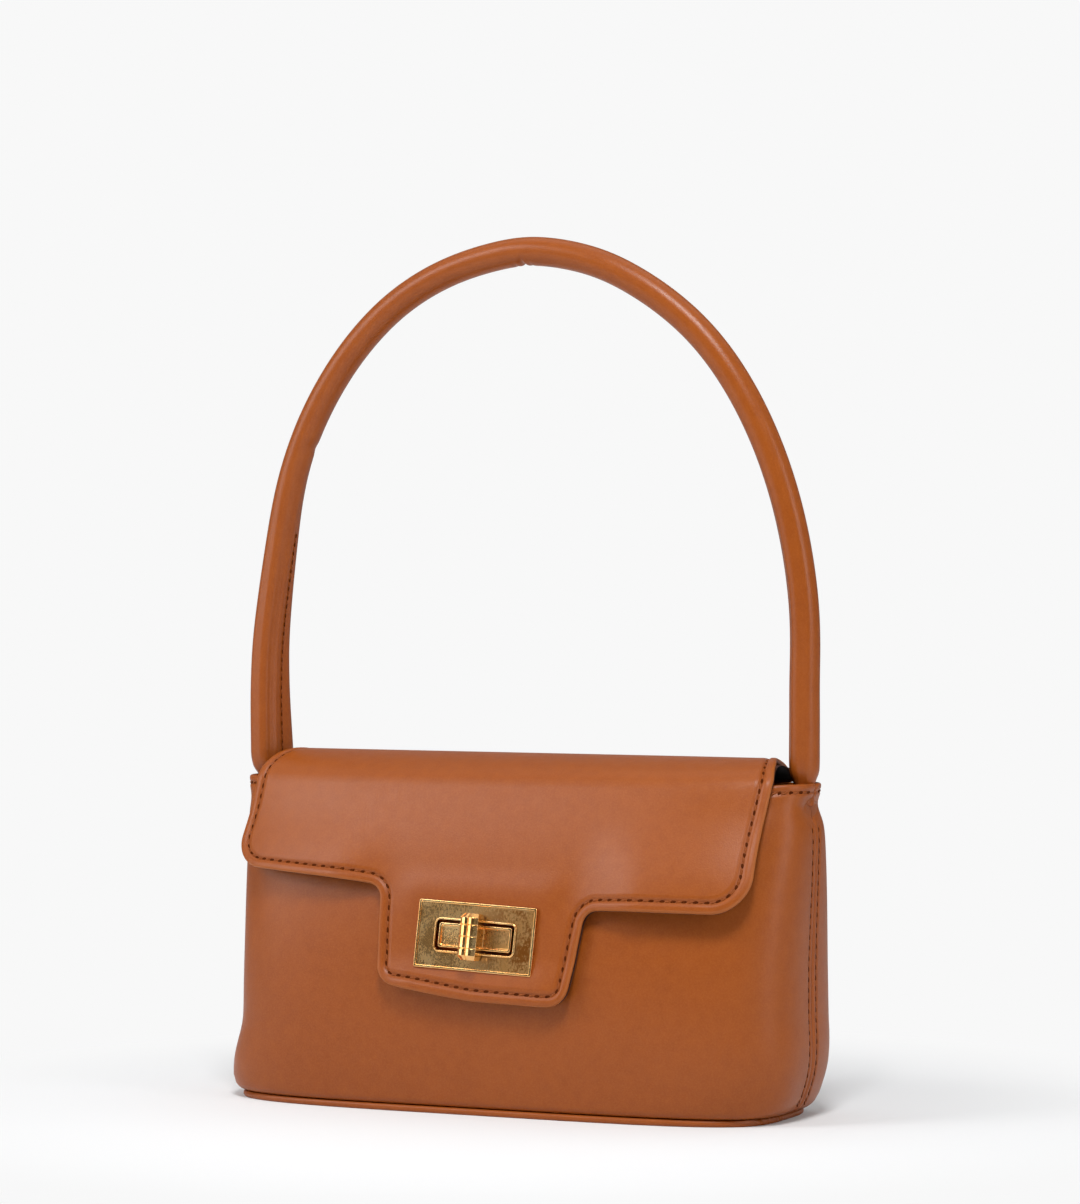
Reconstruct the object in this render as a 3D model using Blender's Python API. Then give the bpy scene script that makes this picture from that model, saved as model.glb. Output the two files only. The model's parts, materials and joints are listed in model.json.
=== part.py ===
"""A small leather shoulder bag with a front flap, a turn lock and a tall rolled handle.

Frame: +X along the bag to the right as the photograph shows it, the flap's front towards -Y, +Z up,
and the origin on the base's underside, below the middle of the lock and of the side seams. All lengths
are in metres.

Everything hangs on one surface: the outside of the body, a rounded oblong whose width, depth and
squareness change with height. Panels, lining and flap are sheets at named distances from it.
"""
import math

import bmesh
import bpy
import numpy as np
from mathutils import Matrix, Vector
from mathutils.geometry import delaunay_2d_cdt

# Body, outside
WAIST_WIDTH = 0.2266
HEM_WIDTH = 0.2312
HEM_HEIGHT = 0.1200
WAIST_HEIGHT = 0.0500
WIDE_HEIGHT = 0.1100
# The sides flare a little above the base, and the foot has settled to the left
FLARE = 0.0018
FLARE_HEIGHT = 0.0160
FLARE_REACH = 0.0110
FOOT_SHIFT = 0.0054
FOOT_HEIGHT = 0.0320
BULGE_HEIGHT = 0.0380
FRONT_BASE_DEPTH = 0.0377
FRONT_BULGE_DEPTH = 0.0423
FRONT_HEM_DEPTH = 0.0230
BACK_BASE_DEPTH = 0.0350
BACK_BULGE_DEPTH = 0.0400
BACK_HEM_DEPTH = 0.0180
# Exponents of the plan curve: 2 is an ellipse, more is squarer
BASE_SQUARENESS = 4.0
HEM_SQUARENESS = 3.6
# Powers of the curves that take the depth from the bulge to the hem, and that crowd the columns
DEPTH_POWER = 2.1
SQUARENESS_POWER = 1.5
COLUMN_POWER = 1.85

# Sheets of the wall, from the outside in, and the clearance between any two pieces
CLEARANCE = 0.0003
INNER_SLACK = 0.0002
PANEL_THICKNESS = 0.0016
INTERLINING_THICKNESS = 0.0010
FACING_THICKNESS = 0.0020
LINING_THICKNESS = 0.0006
LINING_SLACK = 0.0016
FACING_HEIGHT = 0.0180
FACING_LAP = 0.0040

# Base
BASE_THICKNESS = 0.0024
BASE_WELT = 0.0006
BASE_EDGE_RADIUS = 0.0006
BOARD_THICKNESS = 0.0015
BOARD_MARGIN = 0.0040

# Flap: the leather, the board in its front, and its lining; drops are distances below the hem
FLAP_WIDTH = 0.2044
FLAP_GAP = 0.0010
FLAP_LINING_THICKNESS = 0.0006
FLAP_BOARD_THICKNESS = 0.0005
FLAP_LEATHER_THICKNESS = 0.0012
FLAP_RISE = 0.0080
FLAP_ARCH_LENGTH = 0.0480
FLAP_ARCH_PULL = 0.0260
FLAP_BOARD_INSET = 0.0060
WING_OUTER_DROP = 0.0400
WING_INNER_DROP = 0.0422
LEFT_WING_RAISE = 0.0030
WING_CORNER_RADIUS = 0.0120
TAB_TOP_WIDTH = 0.0840
TAB_BOTTOM_WIDTH = 0.0785
TAB_FILLET_RADIUS = 0.0055
TAB_CORNER_RADIUS = 0.0065
TAB_CORNER_DROP = 0.0748
TAB_CENTRE_DROP = 0.0762
FLAP_SKEW_DEG = 2.6
SKEW_FADE_START = 0.0450
SKEW_FADE_END = 0.0850
FLAP_CELL = 0.0120
FLAP_CELL_CLEAR_SHARE = 0.35
STRIP_HEIGHT = 0.0220
STRIP_THICKNESS = 0.0020
HINGE_OVERHANG = 0.0010
HINGE_LIFT = 0.0006

# Turn lock: u runs to the right over the plate, v up it and w out of it
LOCK_DROP = 0.0550
PLATE_WIDTH = 0.0480
PLATE_HEIGHT = 0.0260
PLATE_THICKNESS = 0.0008
PLATE_RIM_WIDTH = 0.0009
PLATE_RIM_HEIGHT = 0.0004
PLATE_FLAT_MARGIN = 0.0020
PLATE_FLAT_FADE = 0.0120
WINDOW_WIDTH = 0.0318
WINDOW_HEIGHT = 0.0112
WINDOW_RADIUS = 0.0016
COLLAR_WALL = 0.0007
BACK_FRAME_THICKNESS = 0.00035
BACK_FRAME_BORDER = 0.0062
HOUSING_GROOVE = 0.0011
HOUSING_RISE = 0.0004
HOUSING_RIM = 0.0009
POCKET_DEPTH = 0.0009
POCKET_SPACE = 0.0058
RECESS_RADIUS = 0.0036
RECESS_DEPTH = 0.0019
PRONG_WIDTH = 0.0030
PRONG_THICKNESS = 0.0008
PRONG_SPACING = 0.0220
LOCK_BACK_WIDTH = 0.0320
LOCK_BACK_HEIGHT = 0.0120
LOCK_BACK_THICKNESS = 0.0007
LOCK_BACK_FALL = 0.0003
KNOB_LENGTH = 0.0170
KNOB_WIDTH = 0.0065
KNOB_HEIGHT = 0.0062
KNOB_CHAMFER = 0.0014
KNOB_END_CHAMFER = 0.0016
KNOB_FLOAT = 0.0003
SPINDLE_RADIUS = 0.0019
SPINDLE_FIT = 0.0002
RING_RADIUS = 0.0032
RING_THICKNESS = 0.0006
SPRING_THICKNESS = 0.00035
SPRING_WAVE = 0.00012

# Handle: a superellipse arch on two legs, and the tongues that hold its ends; rises are above the hem
HANDLE_WIDTH = 0.2230
HANDLE_FOOT_WIDTH = 0.2218
HANDLE_RISE = 0.1977
HANDLE_LEG_RISE = 0.0450
HANDLE_SQUARENESS = 2.08
HANDLE_RADIUS = 0.0053
HANDLE_WALL = 0.0014
RIDGE_HEIGHT = 0.0040
RIDGE_LENGTH = 0.0900
RIDGE_POWER = 4
RIDGE_SIDE_COUNT = 4
CORE_FIT = 0.0003
PIVOT_LIFT = 0.0062
TONGUE_THICKNESS = 0.0024
TONGUE_WIDTH = 0.0052
TONGUE_EYE_RADIUS = 0.0025
TONGUE_DEPTH = 0.0080
TAB_DEPTH = 0.0160

# Counts: columns run along the wall from seam to seam; the tapes and tabs span some from each seam
WALL_COLUMN_COUNT = 26
WALL_ROW_COUNT = 8
LINING_ROW_COUNT = 6
FACING_ROW_COUNT = 2
TAPE_COLUMN_COUNT = 1
TAB_COLUMN_COUNT = 2
STRIP_COLUMN_COUNT = 20
HANDLE_STATION_COUNT = 36
HANDLE_SIDE_COUNT = 10
ROUND_SIDE_COUNT = 24
CORNER_STEP_COUNT = 4
ARCH_STEP_COUNT = 8
FLAP_COLUMN_COUNT = 9
FLAP_FRONT_ROW_COUNT = 7

CUT_OVERRUN = 0.0010
STEP = 0.0001
MERGE_DISTANCE = 0.0000001

LEATHER = "tan_leather"
LINING = "black_lining"
BOARD = "grey_board"
BRASS = "antique_brass"
STEEL = "spring_steel"
CORD = "filler_cord"
FINISHES = {
    LEATHER: ((0.350, 0.100, 0.028, 1.0), 0.42, 0.0),
    LINING: ((0.012, 0.011, 0.012, 1.0), 0.85, 0.0),
    BOARD: ((0.230, 0.215, 0.190, 1.0), 0.90, 0.0),
    BRASS: ((0.560, 0.360, 0.130, 1.0), 0.28, 1.0),
    STEEL: ((0.560, 0.570, 0.580, 1.0), 0.30, 1.0),
    CORD: ((0.520, 0.440, 0.330, 1.0), 0.95, 0.0),
}


def clear_scene():
    """Take away whatever the file opened with."""
    for thing in list(bpy.data.objects):
        bpy.data.objects.remove(thing, do_unlink=True)


def finish(name):
    """The material of that name, made once."""
    material = bpy.data.materials.get(name)
    if material is None:
        colour, roughness, metallic = FINISHES[name]
        material = bpy.data.materials.new(name)
        material.use_nodes = True
        shader = material.node_tree.nodes["Principled BSDF"]
        shader.inputs["Base Color"].default_value = colour
        shader.inputs["Roughness"].default_value = roughness
        shader.inputs["Metallic"].default_value = metallic
        material.diffuse_color = colour
    return material


def add_piece(name, points, faces, material, parent=None, matrix=None):
    """One closed mesh object with its faces turned outwards."""
    mesh = bpy.data.meshes.new(name)
    mesh.from_pydata([tuple(p) for p in points], [], [tuple(f) for f in faces])
    work = bmesh.new()
    work.from_mesh(mesh)
    bmesh.ops.recalc_face_normals(work, faces=work.faces)
    work.to_mesh(mesh)
    work.free()
    mesh.materials.append(finish(material))
    piece = bpy.data.objects.new(name, mesh)
    bpy.context.collection.objects.link(piece)
    if matrix is not None:
        piece.matrix_world = matrix
    if parent is not None:
        piece.parent = parent
    return piece


def add_axis(name, place, matrix=None):
    """An empty on a joint's axis, which carries the moving pieces."""
    empty = bpy.data.objects.new(name, None)
    bpy.context.collection.objects.link(empty)
    empty.matrix_world = matrix if matrix is not None else Matrix.Translation(place)
    return empty


def boolean(piece, other, operation):
    """Join another solid to a piece or cut it away, and remove the other."""
    modifier = piece.modifiers.new(operation.lower(), "BOOLEAN")
    modifier.operation = operation
    modifier.solver = "EXACT"
    modifier.object = other
    bpy.context.view_layer.update()
    shape = bpy.data.meshes.new_from_object(piece.evaluated_get(bpy.context.evaluated_depsgraph_get()))
    piece.modifiers.remove(modifier)
    piece.data = shape
    bpy.data.objects.remove(other, do_unlink=True)


def fade(value, low, high):
    """0 below low, 1 above high, smooth between."""
    share = max(0.0, min(1.0, (value - low) / (high - low)))
    return share * share * (3 - 2 * share)


def body_half_width(z):
    """Half the body's width at a height: a straight waist, a wider hem and a small flare above the base."""
    flare = FLARE * math.exp(-((z - FLARE_HEIGHT) / FLARE_REACH) ** 2)
    return WAIST_WIDTH / 2 + (HEM_WIDTH - WAIST_WIDTH) / 2 * fade(z, WAIST_HEIGHT, WIDE_HEIGHT) + flare


def foot_shift(z):
    """How far to the left the body lies at a height, from its settled foot."""
    return FOOT_SHIFT * (1 - fade(z, 0.0, FOOT_HEIGHT))


def body_depth(z, front):
    """The distance from the side seams' plane to the panel's outside, on the bag's middle line."""
    if front:
        base, bulge, hem = FRONT_BASE_DEPTH, FRONT_BULGE_DEPTH, FRONT_HEM_DEPTH
    else:
        base, bulge, hem = BACK_BASE_DEPTH, BACK_BULGE_DEPTH, BACK_HEM_DEPTH
    if z > BULGE_HEIGHT:
        rise = (z - BULGE_HEIGHT) / (HEM_HEIGHT - BULGE_HEIGHT)
        return bulge - (bulge - hem) * rise ** DEPTH_POWER
    fall = (BULGE_HEIGHT - z) / BULGE_HEIGHT
    return bulge - (bulge - base) * fall ** 2


def squareness(z):
    """The plan curve's exponent, squarer at the base than at the hem."""
    fall = max(0.0, 1 - z / HEM_HEIGHT)
    return HEM_SQUARENESS + (BASE_SQUARENESS - HEM_SQUARENESS) * fall ** SQUARENESS_POWER


def wall_y(x, z, front, offset=0.0):
    """How far the wall stands from the side seams' plane at a width and height, without sign."""
    half = body_half_width(z) - offset
    depth = body_depth(z, front) - offset
    power = squareness(z)
    share = min(1.0, abs(x) / half)
    return depth * (1 - share ** power) ** (1 / power)


def wall_turn(step):
    """The plan curve's angle at a column, set so that the columns are even in width and in depth."""
    share = 2 * step / WALL_COLUMN_COUNT
    if share > 1:
        return math.pi - wall_turn(WALL_COLUMN_COUNT - step)
    near, far = share ** COLUMN_POWER, (1 - share) ** COLUMN_POWER
    return math.pi / 2 * near / (near + far)


def wall_row(z, front, offset, skip=0):
    """Points along the wall's plan curve at one height, from right to left, less some at each side."""
    half = body_half_width(z) - offset
    depth = body_depth(z, front) - offset
    power = squareness(z)
    side = -1 if front else 1
    row = []
    for step in range(skip, WALL_COLUMN_COUNT + 1 - skip):
        across = math.cos(wall_turn(step))
        x = half * math.copysign(abs(across) ** (2 / power), across) - foot_shift(z)
        y = depth * abs(math.sin(wall_turn(step))) ** (2 / power)
        row.append((x, side * (y + CLEARANCE / 2), z))
    return row


def sheet_solid(outer, inner):
    """Points and faces of a closed sheet between two grids of the same rows and columns."""
    rows, columns = len(outer), len(outer[0])
    points = [p for row in outer for p in row] + [p for row in inner for p in row]
    far = rows * columns
    faces = []
    for r in range(rows - 1):
        for c in range(columns - 1):
            a, b = r * columns + c, r * columns + c + 1
            d, e = a + columns, b + columns
            faces.append((a, b, e, d))
            faces.append((far + a, far + d, far + e, far + b))
    for c in range(columns - 1):
        low, high = c, (rows - 1) * columns + c
        faces.append((low, far + low, far + low + 1, low + 1))
        faces.append((high, high + 1, far + high + 1, far + high))
    for r in range(rows - 1):
        left, right = r * columns, r * columns + columns - 1
        faces.append((left, left + columns, far + left + columns, far + left))
        faces.append((right, far + right, far + right + columns, right + columns))
    return points, faces


def heights(low, high, rows):
    """Evenly spaced heights, both ends included."""
    return [low + (high - low) * r / rows for r in range(rows + 1)]


def add_wall(name, material, front, start, thickness, low, high, rows, skip=0):
    """Half of the body's wall at a distance inside it, less some columns at each side seam."""
    levels = heights(low, high, rows)
    outer = [wall_row(z, front, start, skip) for z in levels]
    inner = [wall_row(z, front, start + thickness, skip) for z in levels]
    points, faces = sheet_solid(outer, inner)
    return add_piece(name, points, faces, material)


def seam_row(side, z, offset, reach):
    """Points across a side seam at one height, some columns to the front and as many to the back."""
    front = wall_row(z, True, offset)
    back = wall_row(z, False, offset)
    if side < 0:
        front, back = front[::-1], back[::-1]
    middle = (side * (body_half_width(z) - offset) - foot_shift(z), 0.0, z)
    return front[reach:0:-1] + [middle] + back[1:reach + 1]


def add_seam_strip(name, material, side, start, thickness, reach, low, high, rows):
    """A strip that lies over a side seam's inside, some columns wide each way."""
    levels = heights(low, high, rows)
    outer = [seam_row(side, z, start, reach) for z in levels]
    inner = [seam_row(side, z, start + thickness, reach) for z in levels]
    points, faces = sheet_solid(outer, inner)
    return add_piece(name, points, faces, material)


def ring_solid(rings):
    """Points and faces of a closed solid through rings of the same count, capped at both ends."""
    count = len(rings[0])
    points = [p for ring in rings for p in ring]
    faces = [tuple(reversed(range(count)))]
    for r in range(len(rings) - 1):
        for c in range(count):
            a, b = r * count + c, r * count + (c + 1) % count
            faces.append((a, b, b + count, a + count))
    faces.append(tuple((len(rings) - 1) * count + c for c in range(count)))
    return points, faces


def closed_solid(rings):
    """Points and faces of a solid like a tyre: rings of the same count, the last joined to the first."""
    count, total = len(rings[0]), len(rings) * len(rings[0])
    points = [p for ring in rings for p in ring]
    faces = []
    for first in range(0, total, count):
        for c in range(count):
            a, b = first + c, first + (c + 1) % count
            faces.append((a, b, (b + count) % total, (a + count) % total))
    return points, faces


def base_oblong(offset, z):
    """The base's plan curve, inside it by an offset, laid at a height, closed and anticlockwise."""
    front = wall_row(0.0, True, offset)
    back = wall_row(0.0, False, offset)
    return [(x, y, z) for x, y, _ in list(reversed(front)) + back]


def add_oblong_slab(name, material, offset, low, high, edge=0.0):
    """A flat slab with the base's outline, its edges rounded off when an edge is given."""
    levels = [(low, edge), (low + edge, 0.0), (high - edge, 0.0), (high, edge)] if edge > 0 else [
        (low, 0.0), (high, 0.0)]
    rings = [base_oblong(offset + inset, z) for z, inset in levels]
    points, faces = ring_solid(rings)
    return add_piece(name, points, faces, material)


def rounded(corners, steps=CORNER_STEP_COUNT):
    """A closed outline through (x, y, radius) corners, each rounded by an arc of its radius."""
    outline = []
    count = len(corners)
    for i in range(count):
        here = Vector(corners[i][:2])
        before = (Vector(corners[i - 1][:2]) - here)
        after = (Vector(corners[(i + 1) % count][:2]) - here)
        radius = corners[i][2]
        if radius <= 0:
            outline.append(tuple(here))
            continue
        half = before.angle(after) / 2
        reach = radius / math.tan(half)
        start = here + before.normalized() * reach
        end = here + after.normalized() * reach
        inwards = (before.normalized() + after.normalized()).normalized()
        centre = here + inwards * radius / math.sin(half)
        first, last = start - centre, end - centre
        sweep = math.atan2(first.x * last.y - first.y * last.x, first.dot(last))
        for k in range(steps + 1):
            turn = sweep * k / steps
            outline.append((centre.x + first.x * math.cos(turn) - first.y * math.sin(turn),
                            centre.y + first.x * math.sin(turn) + first.y * math.cos(turn)))
    return outline


def rounded_box(width, height, radius):
    """A rounded rectangle about the origin."""
    u, v = width / 2, height / 2
    return rounded([(-u, -v, radius), (u, -v, radius), (u, v, radius), (-u, v, radius)])


def inside(point, outline):
    """Whether a point lies inside a closed outline."""
    x, y = point
    odd = False
    for i in range(len(outline)):
        (x0, y0), (x1, y1) = outline[i - 1], outline[i]
        if (y0 > y) != (y1 > y) and x < x0 + (x1 - x0) * (y - y0) / (y1 - y0):
            odd = not odd
    return odd


def near_outline(point, outline, distance):
    """Whether a point lies within a distance of a closed outline."""
    p = Vector(point)
    for i in range(len(outline)):
        a, b = Vector(outline[i - 1]), Vector(outline[i])
        along = b - a
        share = max(0.0, min(1.0, (p - a).dot(along) / max(along.length_squared, MERGE_DISTANCE ** 2)))
        if (p - a - along * share).length < distance:
            return True
    return False


def triangulate(outer, holes, fill):
    """A flat triangle mesh inside an outline, outside its holes, through some filling points."""
    points, edges = [], []
    for loop in [outer] + holes:
        first = len(points)
        points += [Vector(p) for p in loop]
        edges += [(first + i, first + (i + 1) % len(loop)) for i in range(len(loop))]
    points += [Vector(p) for p in fill]
    flat, _, triangles, _, _, _ = delaunay_2d_cdt(points, edges, [], 1, MERGE_DISTANCE)
    kept = []
    for triangle in triangles:
        middle = sum((flat[i] for i in triangle), Vector((0, 0))) / 3
        if not any(inside(middle, hole) for hole in holes):
            kept.append(tuple(triangle))
    used = sorted({i for triangle in kept for i in triangle})
    index = {old: new for new, old in enumerate(used)}
    return [flat[i] for i in used], [tuple(index[i] for i in triangle) for triangle in kept]


def slab_solid(top, bottom, triangles):
    """A closed solid between two copies of a triangle mesh, walled along its open edges."""
    far = len(top)
    faces = list(triangles) + [tuple(far + i for i in reversed(t)) for t in triangles]
    directed = {(t[k], t[(k + 1) % 3]) for t in triangles for k in range(3)}
    for a, b in directed:
        if (b, a) not in directed:
            faces.append((b, a, far + a, far + b))
    return list(top) + list(bottom), faces


def add_plate(name, material, outer, holes, low, high, parent=None, matrix=None):
    """A flat plate with holes, from w = low to w = high."""
    flat, triangles = triangulate(outer, holes, [])
    top = [(p.x, p.y, high) for p in flat]
    bottom = [(p.x, p.y, low) for p in flat]
    points, faces = slab_solid(top, bottom, triangles)
    return add_piece(name, points, faces, material, parent, matrix)


def block(name, centre, size, matrix=None):
    """A plain box, for joining and cutting."""
    points = [tuple(centre[k] + size[k] / 2 * sign[k] for k in range(3))
              for sign in ((-1, -1, -1), (1, -1, -1), (1, 1, -1), (-1, 1, -1),
                           (-1, -1, 1), (1, -1, 1), (1, 1, 1), (-1, 1, 1))]
    faces = [(0, 3, 2, 1), (4, 5, 6, 7), (0, 1, 5, 4), (1, 2, 6, 5), (2, 3, 7, 6), (3, 0, 4, 7)]
    return add_piece(name, points, faces, BOARD, None, matrix)


def circle(radius):
    """A round outline about the origin."""
    turns = [2 * math.pi * k / ROUND_SIDE_COUNT for k in range(ROUND_SIDE_COUNT)]
    return [(radius * math.cos(turn), radius * math.sin(turn)) for turn in turns]


def round_bar(name, radius, low, high, matrix=None):
    """A cylinder along the local third axis, for joining and cutting."""
    points, faces = ring_solid([[(u, v, w) for u, v in circle(radius)] for w in (low, high)])
    return add_piece(name, points, faces, BOARD, None, matrix)


# Distances inside the body's outside, worked out from the sheets
INTERLINING_START = PANEL_THICKNESS + CLEARANCE + INNER_SLACK
INTERLINING_END = INTERLINING_START + INTERLINING_THICKNESS
LINING_START = INTERLINING_END + LINING_SLACK
PANEL_LOW = BASE_THICKNESS + CLEARANCE
BOARD_LOW = PANEL_LOW
BOARD_HIGH = BOARD_LOW + BOARD_THICKNESS
BASE_LINING_LOW = BOARD_HIGH + CLEARANCE
BASE_LINING_HIGH = BASE_LINING_LOW + LINING_THICKNESS
INNER_LOW = BASE_LINING_HIGH + CLEARANCE
FACING_LOW = HEM_HEIGHT - FACING_HEIGHT
INNER_HIGH = FACING_LOW - CLEARANCE
LINING_HIGH = FACING_LOW + FACING_LAP

# The flap's sheets, outwards from its inner face
FLAP_BOARD_START = FLAP_LINING_THICKNESS + CLEARANCE
FLAP_LEATHER_START = FLAP_BOARD_START + FLAP_BOARD_THICKNESS + CLEARANCE
FLAP_THICKNESS = FLAP_LEATHER_START + FLAP_LEATHER_THICKNESS
FLAP_BACK_GAP = 2 * CLEARANCE
HINGE_Y = BACK_HEM_DEPTH + FLAP_BACK_GAP + FLAP_THICKNESS + HINGE_OVERHANG
HINGE_Z = HEM_HEIGHT + HINGE_LIFT
LOCK_HEIGHT = HEM_HEIGHT - LOCK_DROP
FLAP_SKEW = math.radians(FLAP_SKEW_DEG)

# The lock's heights over the front panel
FLAP_FACE = FLAP_GAP + FLAP_THICKNESS
PLATE_LOW = FLAP_FACE + CLEARANCE
PLATE_HIGH = PLATE_LOW + PLATE_THICKNESS
COLLAR_LOW = FLAP_GAP - BACK_FRAME_THICKNESS + CLEARANCE
BACK_FRAME_HIGH = FLAP_GAP - CLEARANCE
HOUSING_LOW = CLEARANCE
HOUSING_HIGH = PLATE_HIGH + HOUSING_RISE
HOUSING_WIDTH = WINDOW_WIDTH - 2 * HOUSING_GROOVE
HOUSING_HEIGHT = WINDOW_HEIGHT - 2 * HOUSING_GROOVE
LOCK_BACK_HIGH = -(INTERLINING_END + CLEARANCE + LOCK_BACK_FALL)
LOCK_BACK_LOW = LOCK_BACK_HIGH - LOCK_BACK_THICKNESS
KNOB_LOW = HOUSING_HIGH + KNOB_FLOAT
KNOB_TOP = KNOB_LOW + KNOB_HEIGHT

PIVOT_Z = HEM_HEIGHT + PIVOT_LIFT
RIDGE_TURN = 2 * math.pi * RIDGE_SIDE_COUNT / HANDLE_SIDE_COUNT
PIVOT_X = HANDLE_FOOT_WIDTH / 2
TUBE_START = TONGUE_THICKNESS / 2 + CLEARANCE + CLEARANCE
CORE_START = TONGUE_EYE_RADIUS + CLEARANCE + CLEARANCE


def lock_matrix():
    """The lock's frame: on the front panel's outside, leaning with it and turned by the flap's skew."""
    slope = (body_depth(LOCK_HEIGHT + STEP, True) - body_depth(LOCK_HEIGHT - STEP, True)) / (2 * STEP)
    lean = math.atan(-slope)
    right = Vector((1, 0, 0))
    up = Vector((0, math.sin(lean), math.cos(lean)))
    out = right.cross(up)
    turned_right = right * math.cos(FLAP_SKEW) - up * math.sin(FLAP_SKEW)
    turned_up = up * math.cos(FLAP_SKEW) + right * math.sin(FLAP_SKEW)
    origin = Vector((0, -body_depth(LOCK_HEIGHT, True) - CLEARANCE / 2, LOCK_HEIGHT))
    columns = Matrix((turned_right, turned_up, out)).transposed().to_4x4()
    return Matrix.Translation(origin) @ columns


LOCK = lock_matrix()
LOCK_OUT = LOCK.to_3x3() @ Vector((0, 0, 1))


def flap_front(x, z):
    """The flap's inner face on its front: a gap outside the panel, and flat behind the lock's plate."""
    y = -(wall_y(x, z, True) + CLEARANCE / 2 + FLAP_GAP)
    origin = LOCK.translation
    plane = origin.y + (FLAP_GAP - LOCK_OUT.z * (z - origin.z)) / LOCK_OUT.y
    flatness = 1.0
    for distance, half in ((abs(x), PLATE_WIDTH / 2), (abs(z - LOCK_HEIGHT), PLATE_HEIGHT / 2)):
        flatness *= 1 - fade(distance, half + PLATE_FLAT_MARGIN, half + PLATE_FLAT_FADE)
    return y + (plane - y) * flatness


def flap_arch(x, share):
    """The flap's inner face over the top: a smooth curve from the back hem to the front shoulder."""
    start = Vector((wall_y(x, HEM_HEIGHT, False) + FLAP_BACK_GAP, HINGE_Z))
    end = Vector((flap_front(x, HEM_HEIGHT), HEM_HEIGHT))
    below = Vector((flap_front(x, HEM_HEIGHT - STEP), HEM_HEIGHT - STEP))
    pull = FLAP_ARCH_PULL * min(1.0, (start.x - end.x) / (BACK_HEM_DEPTH + FRONT_HEM_DEPTH))
    leave = Vector((0, 1)) * pull
    arrive = (below - end).normalized() * pull
    s2, s3 = share * share, share ** 3
    point = (start * (2 * s3 - 3 * s2 + 1) + leave * (s3 - 2 * s2 + share)
             + end * (3 * s2 - 2 * s3) + arrive * (s3 - s2))
    middle = (start.y + end.y) / 2 + (leave.y - arrive.y) / 8
    lift = HEM_HEIGHT + FLAP_RISE - middle
    return point + Vector((0, lift * 16 * s2 * (1 - share) ** 2))


def flap_inner(x, s):
    """The flap's inner face at a width and a distance from its hinge line."""
    if s < FLAP_ARCH_LENGTH:
        point = flap_arch(x, max(0.0, s / FLAP_ARCH_LENGTH))
        return Vector((x, point.x, point.y))
    z = HEM_HEIGHT - (s - FLAP_ARCH_LENGTH)
    return Vector((x, flap_front(x, z), z))


def flap_point(x, s, outwards):
    """A point of the flap at a distance outside its inner face, relative to the hinge line's middle."""
    here = flap_inner(x, s)
    across = flap_inner(x + STEP, s) - flap_inner(x - STEP, s)
    along = flap_inner(x, s + STEP) - flap_inner(x, max(0.0, s - STEP))
    normal = along.cross(across).normalized()
    return here + normal * outwards - Vector((0, HINGE_Y, HINGE_Z))


def flap_s(z):
    """The distance from the hinge line that the flap's front has at a height."""
    return FLAP_ARCH_LENGTH + HEM_HEIGHT - z


def skewed(point):
    """Turn a point of the flap's front about the lock by the angle at which it hangs; wing ends only sink."""
    x, s = point
    middle = flap_s(LOCK_HEIGHT)
    share = fade(s, FLAP_ARCH_LENGTH, FLAP_ARCH_LENGTH + WING_INNER_DROP)
    aside = math.tan(FLAP_SKEW) * (s - middle) * share * (1 - fade(abs(x), SKEW_FADE_START, SKEW_FADE_END))
    return (x - aside, s + math.tan(FLAP_SKEW) * x * share)


def flap_columns():
    """Widths for the flap's inner points, crowded towards its sides, where the wall turns away."""
    turns = [math.pi / 2 * k / FLAP_COLUMN_COUNT for k in range(1 - FLAP_COLUMN_COUNT, FLAP_COLUMN_COUNT)]
    return [FLAP_WIDTH / 2 * math.sin(turn) for turn in turns]


def split(outline):
    """The outline with its long straight runs divided, so that they can follow the wall."""
    points = []
    for i in range(len(outline)):
        start, end = Vector(outline[i]), Vector(outline[(i + 1) % len(outline)])
        count = max(1, math.ceil((end - start).length / FLAP_CELL))
        points += [tuple(start.lerp(end, k / count)) for k in range(count)]
    return points


def flap_outline(inset, top):
    """The flap's outline in (x, s), from a top line round the wings and the tab, with its skew."""
    wing = FLAP_WIDTH / 2 - inset
    tab_top, tab_low = TAB_TOP_WIDTH / 2 - inset, TAB_BOTTOM_WIDTH / 2 - inset
    hem = FLAP_ARCH_LENGTH - inset
    wing_out, wing_in = hem + WING_OUTER_DROP, hem + WING_INNER_DROP
    tab_corner, tab_middle = hem + TAB_CORNER_DROP, hem + TAB_CENTRE_DROP
    fillet = TAB_FILLET_RADIUS + inset
    corner = max(TAB_CORNER_RADIUS - inset, TAB_CORNER_RADIUS / 4)
    wing_corner = max(WING_CORNER_RADIUS - inset, WING_CORNER_RADIUS / 4)
    right = [(wing, wing_out, wing_corner), (tab_top, wing_in, fillet), (tab_low, tab_corner, corner)]
    left = [(-tab_low, tab_corner, corner), (-tab_top, wing_in - LEFT_WING_RAISE, fillet),
            (-wing, wing_out - LEFT_WING_RAISE, wing_corner)]
    tab_end = [(0, tab_middle, TAB_BOTTOM_WIDTH)]
    low = rounded(right + tab_end + left + [(-wing, top, 0), (wing, top, 0)])[:-2]
    arch = [s for s in heights(0.0, FLAP_ARCH_LENGTH, ARCH_STEP_COUNT)[:-1] if s > top]
    line = [(x, top) for x in flap_columns() if abs(x) < wing]
    loop = [(wing, s) for s in arch] + low + [(-wing, s) for s in reversed(arch)]
    return [skewed(p) for p in split(loop + [(-wing, top)] + line + [(wing, top)])]


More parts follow.
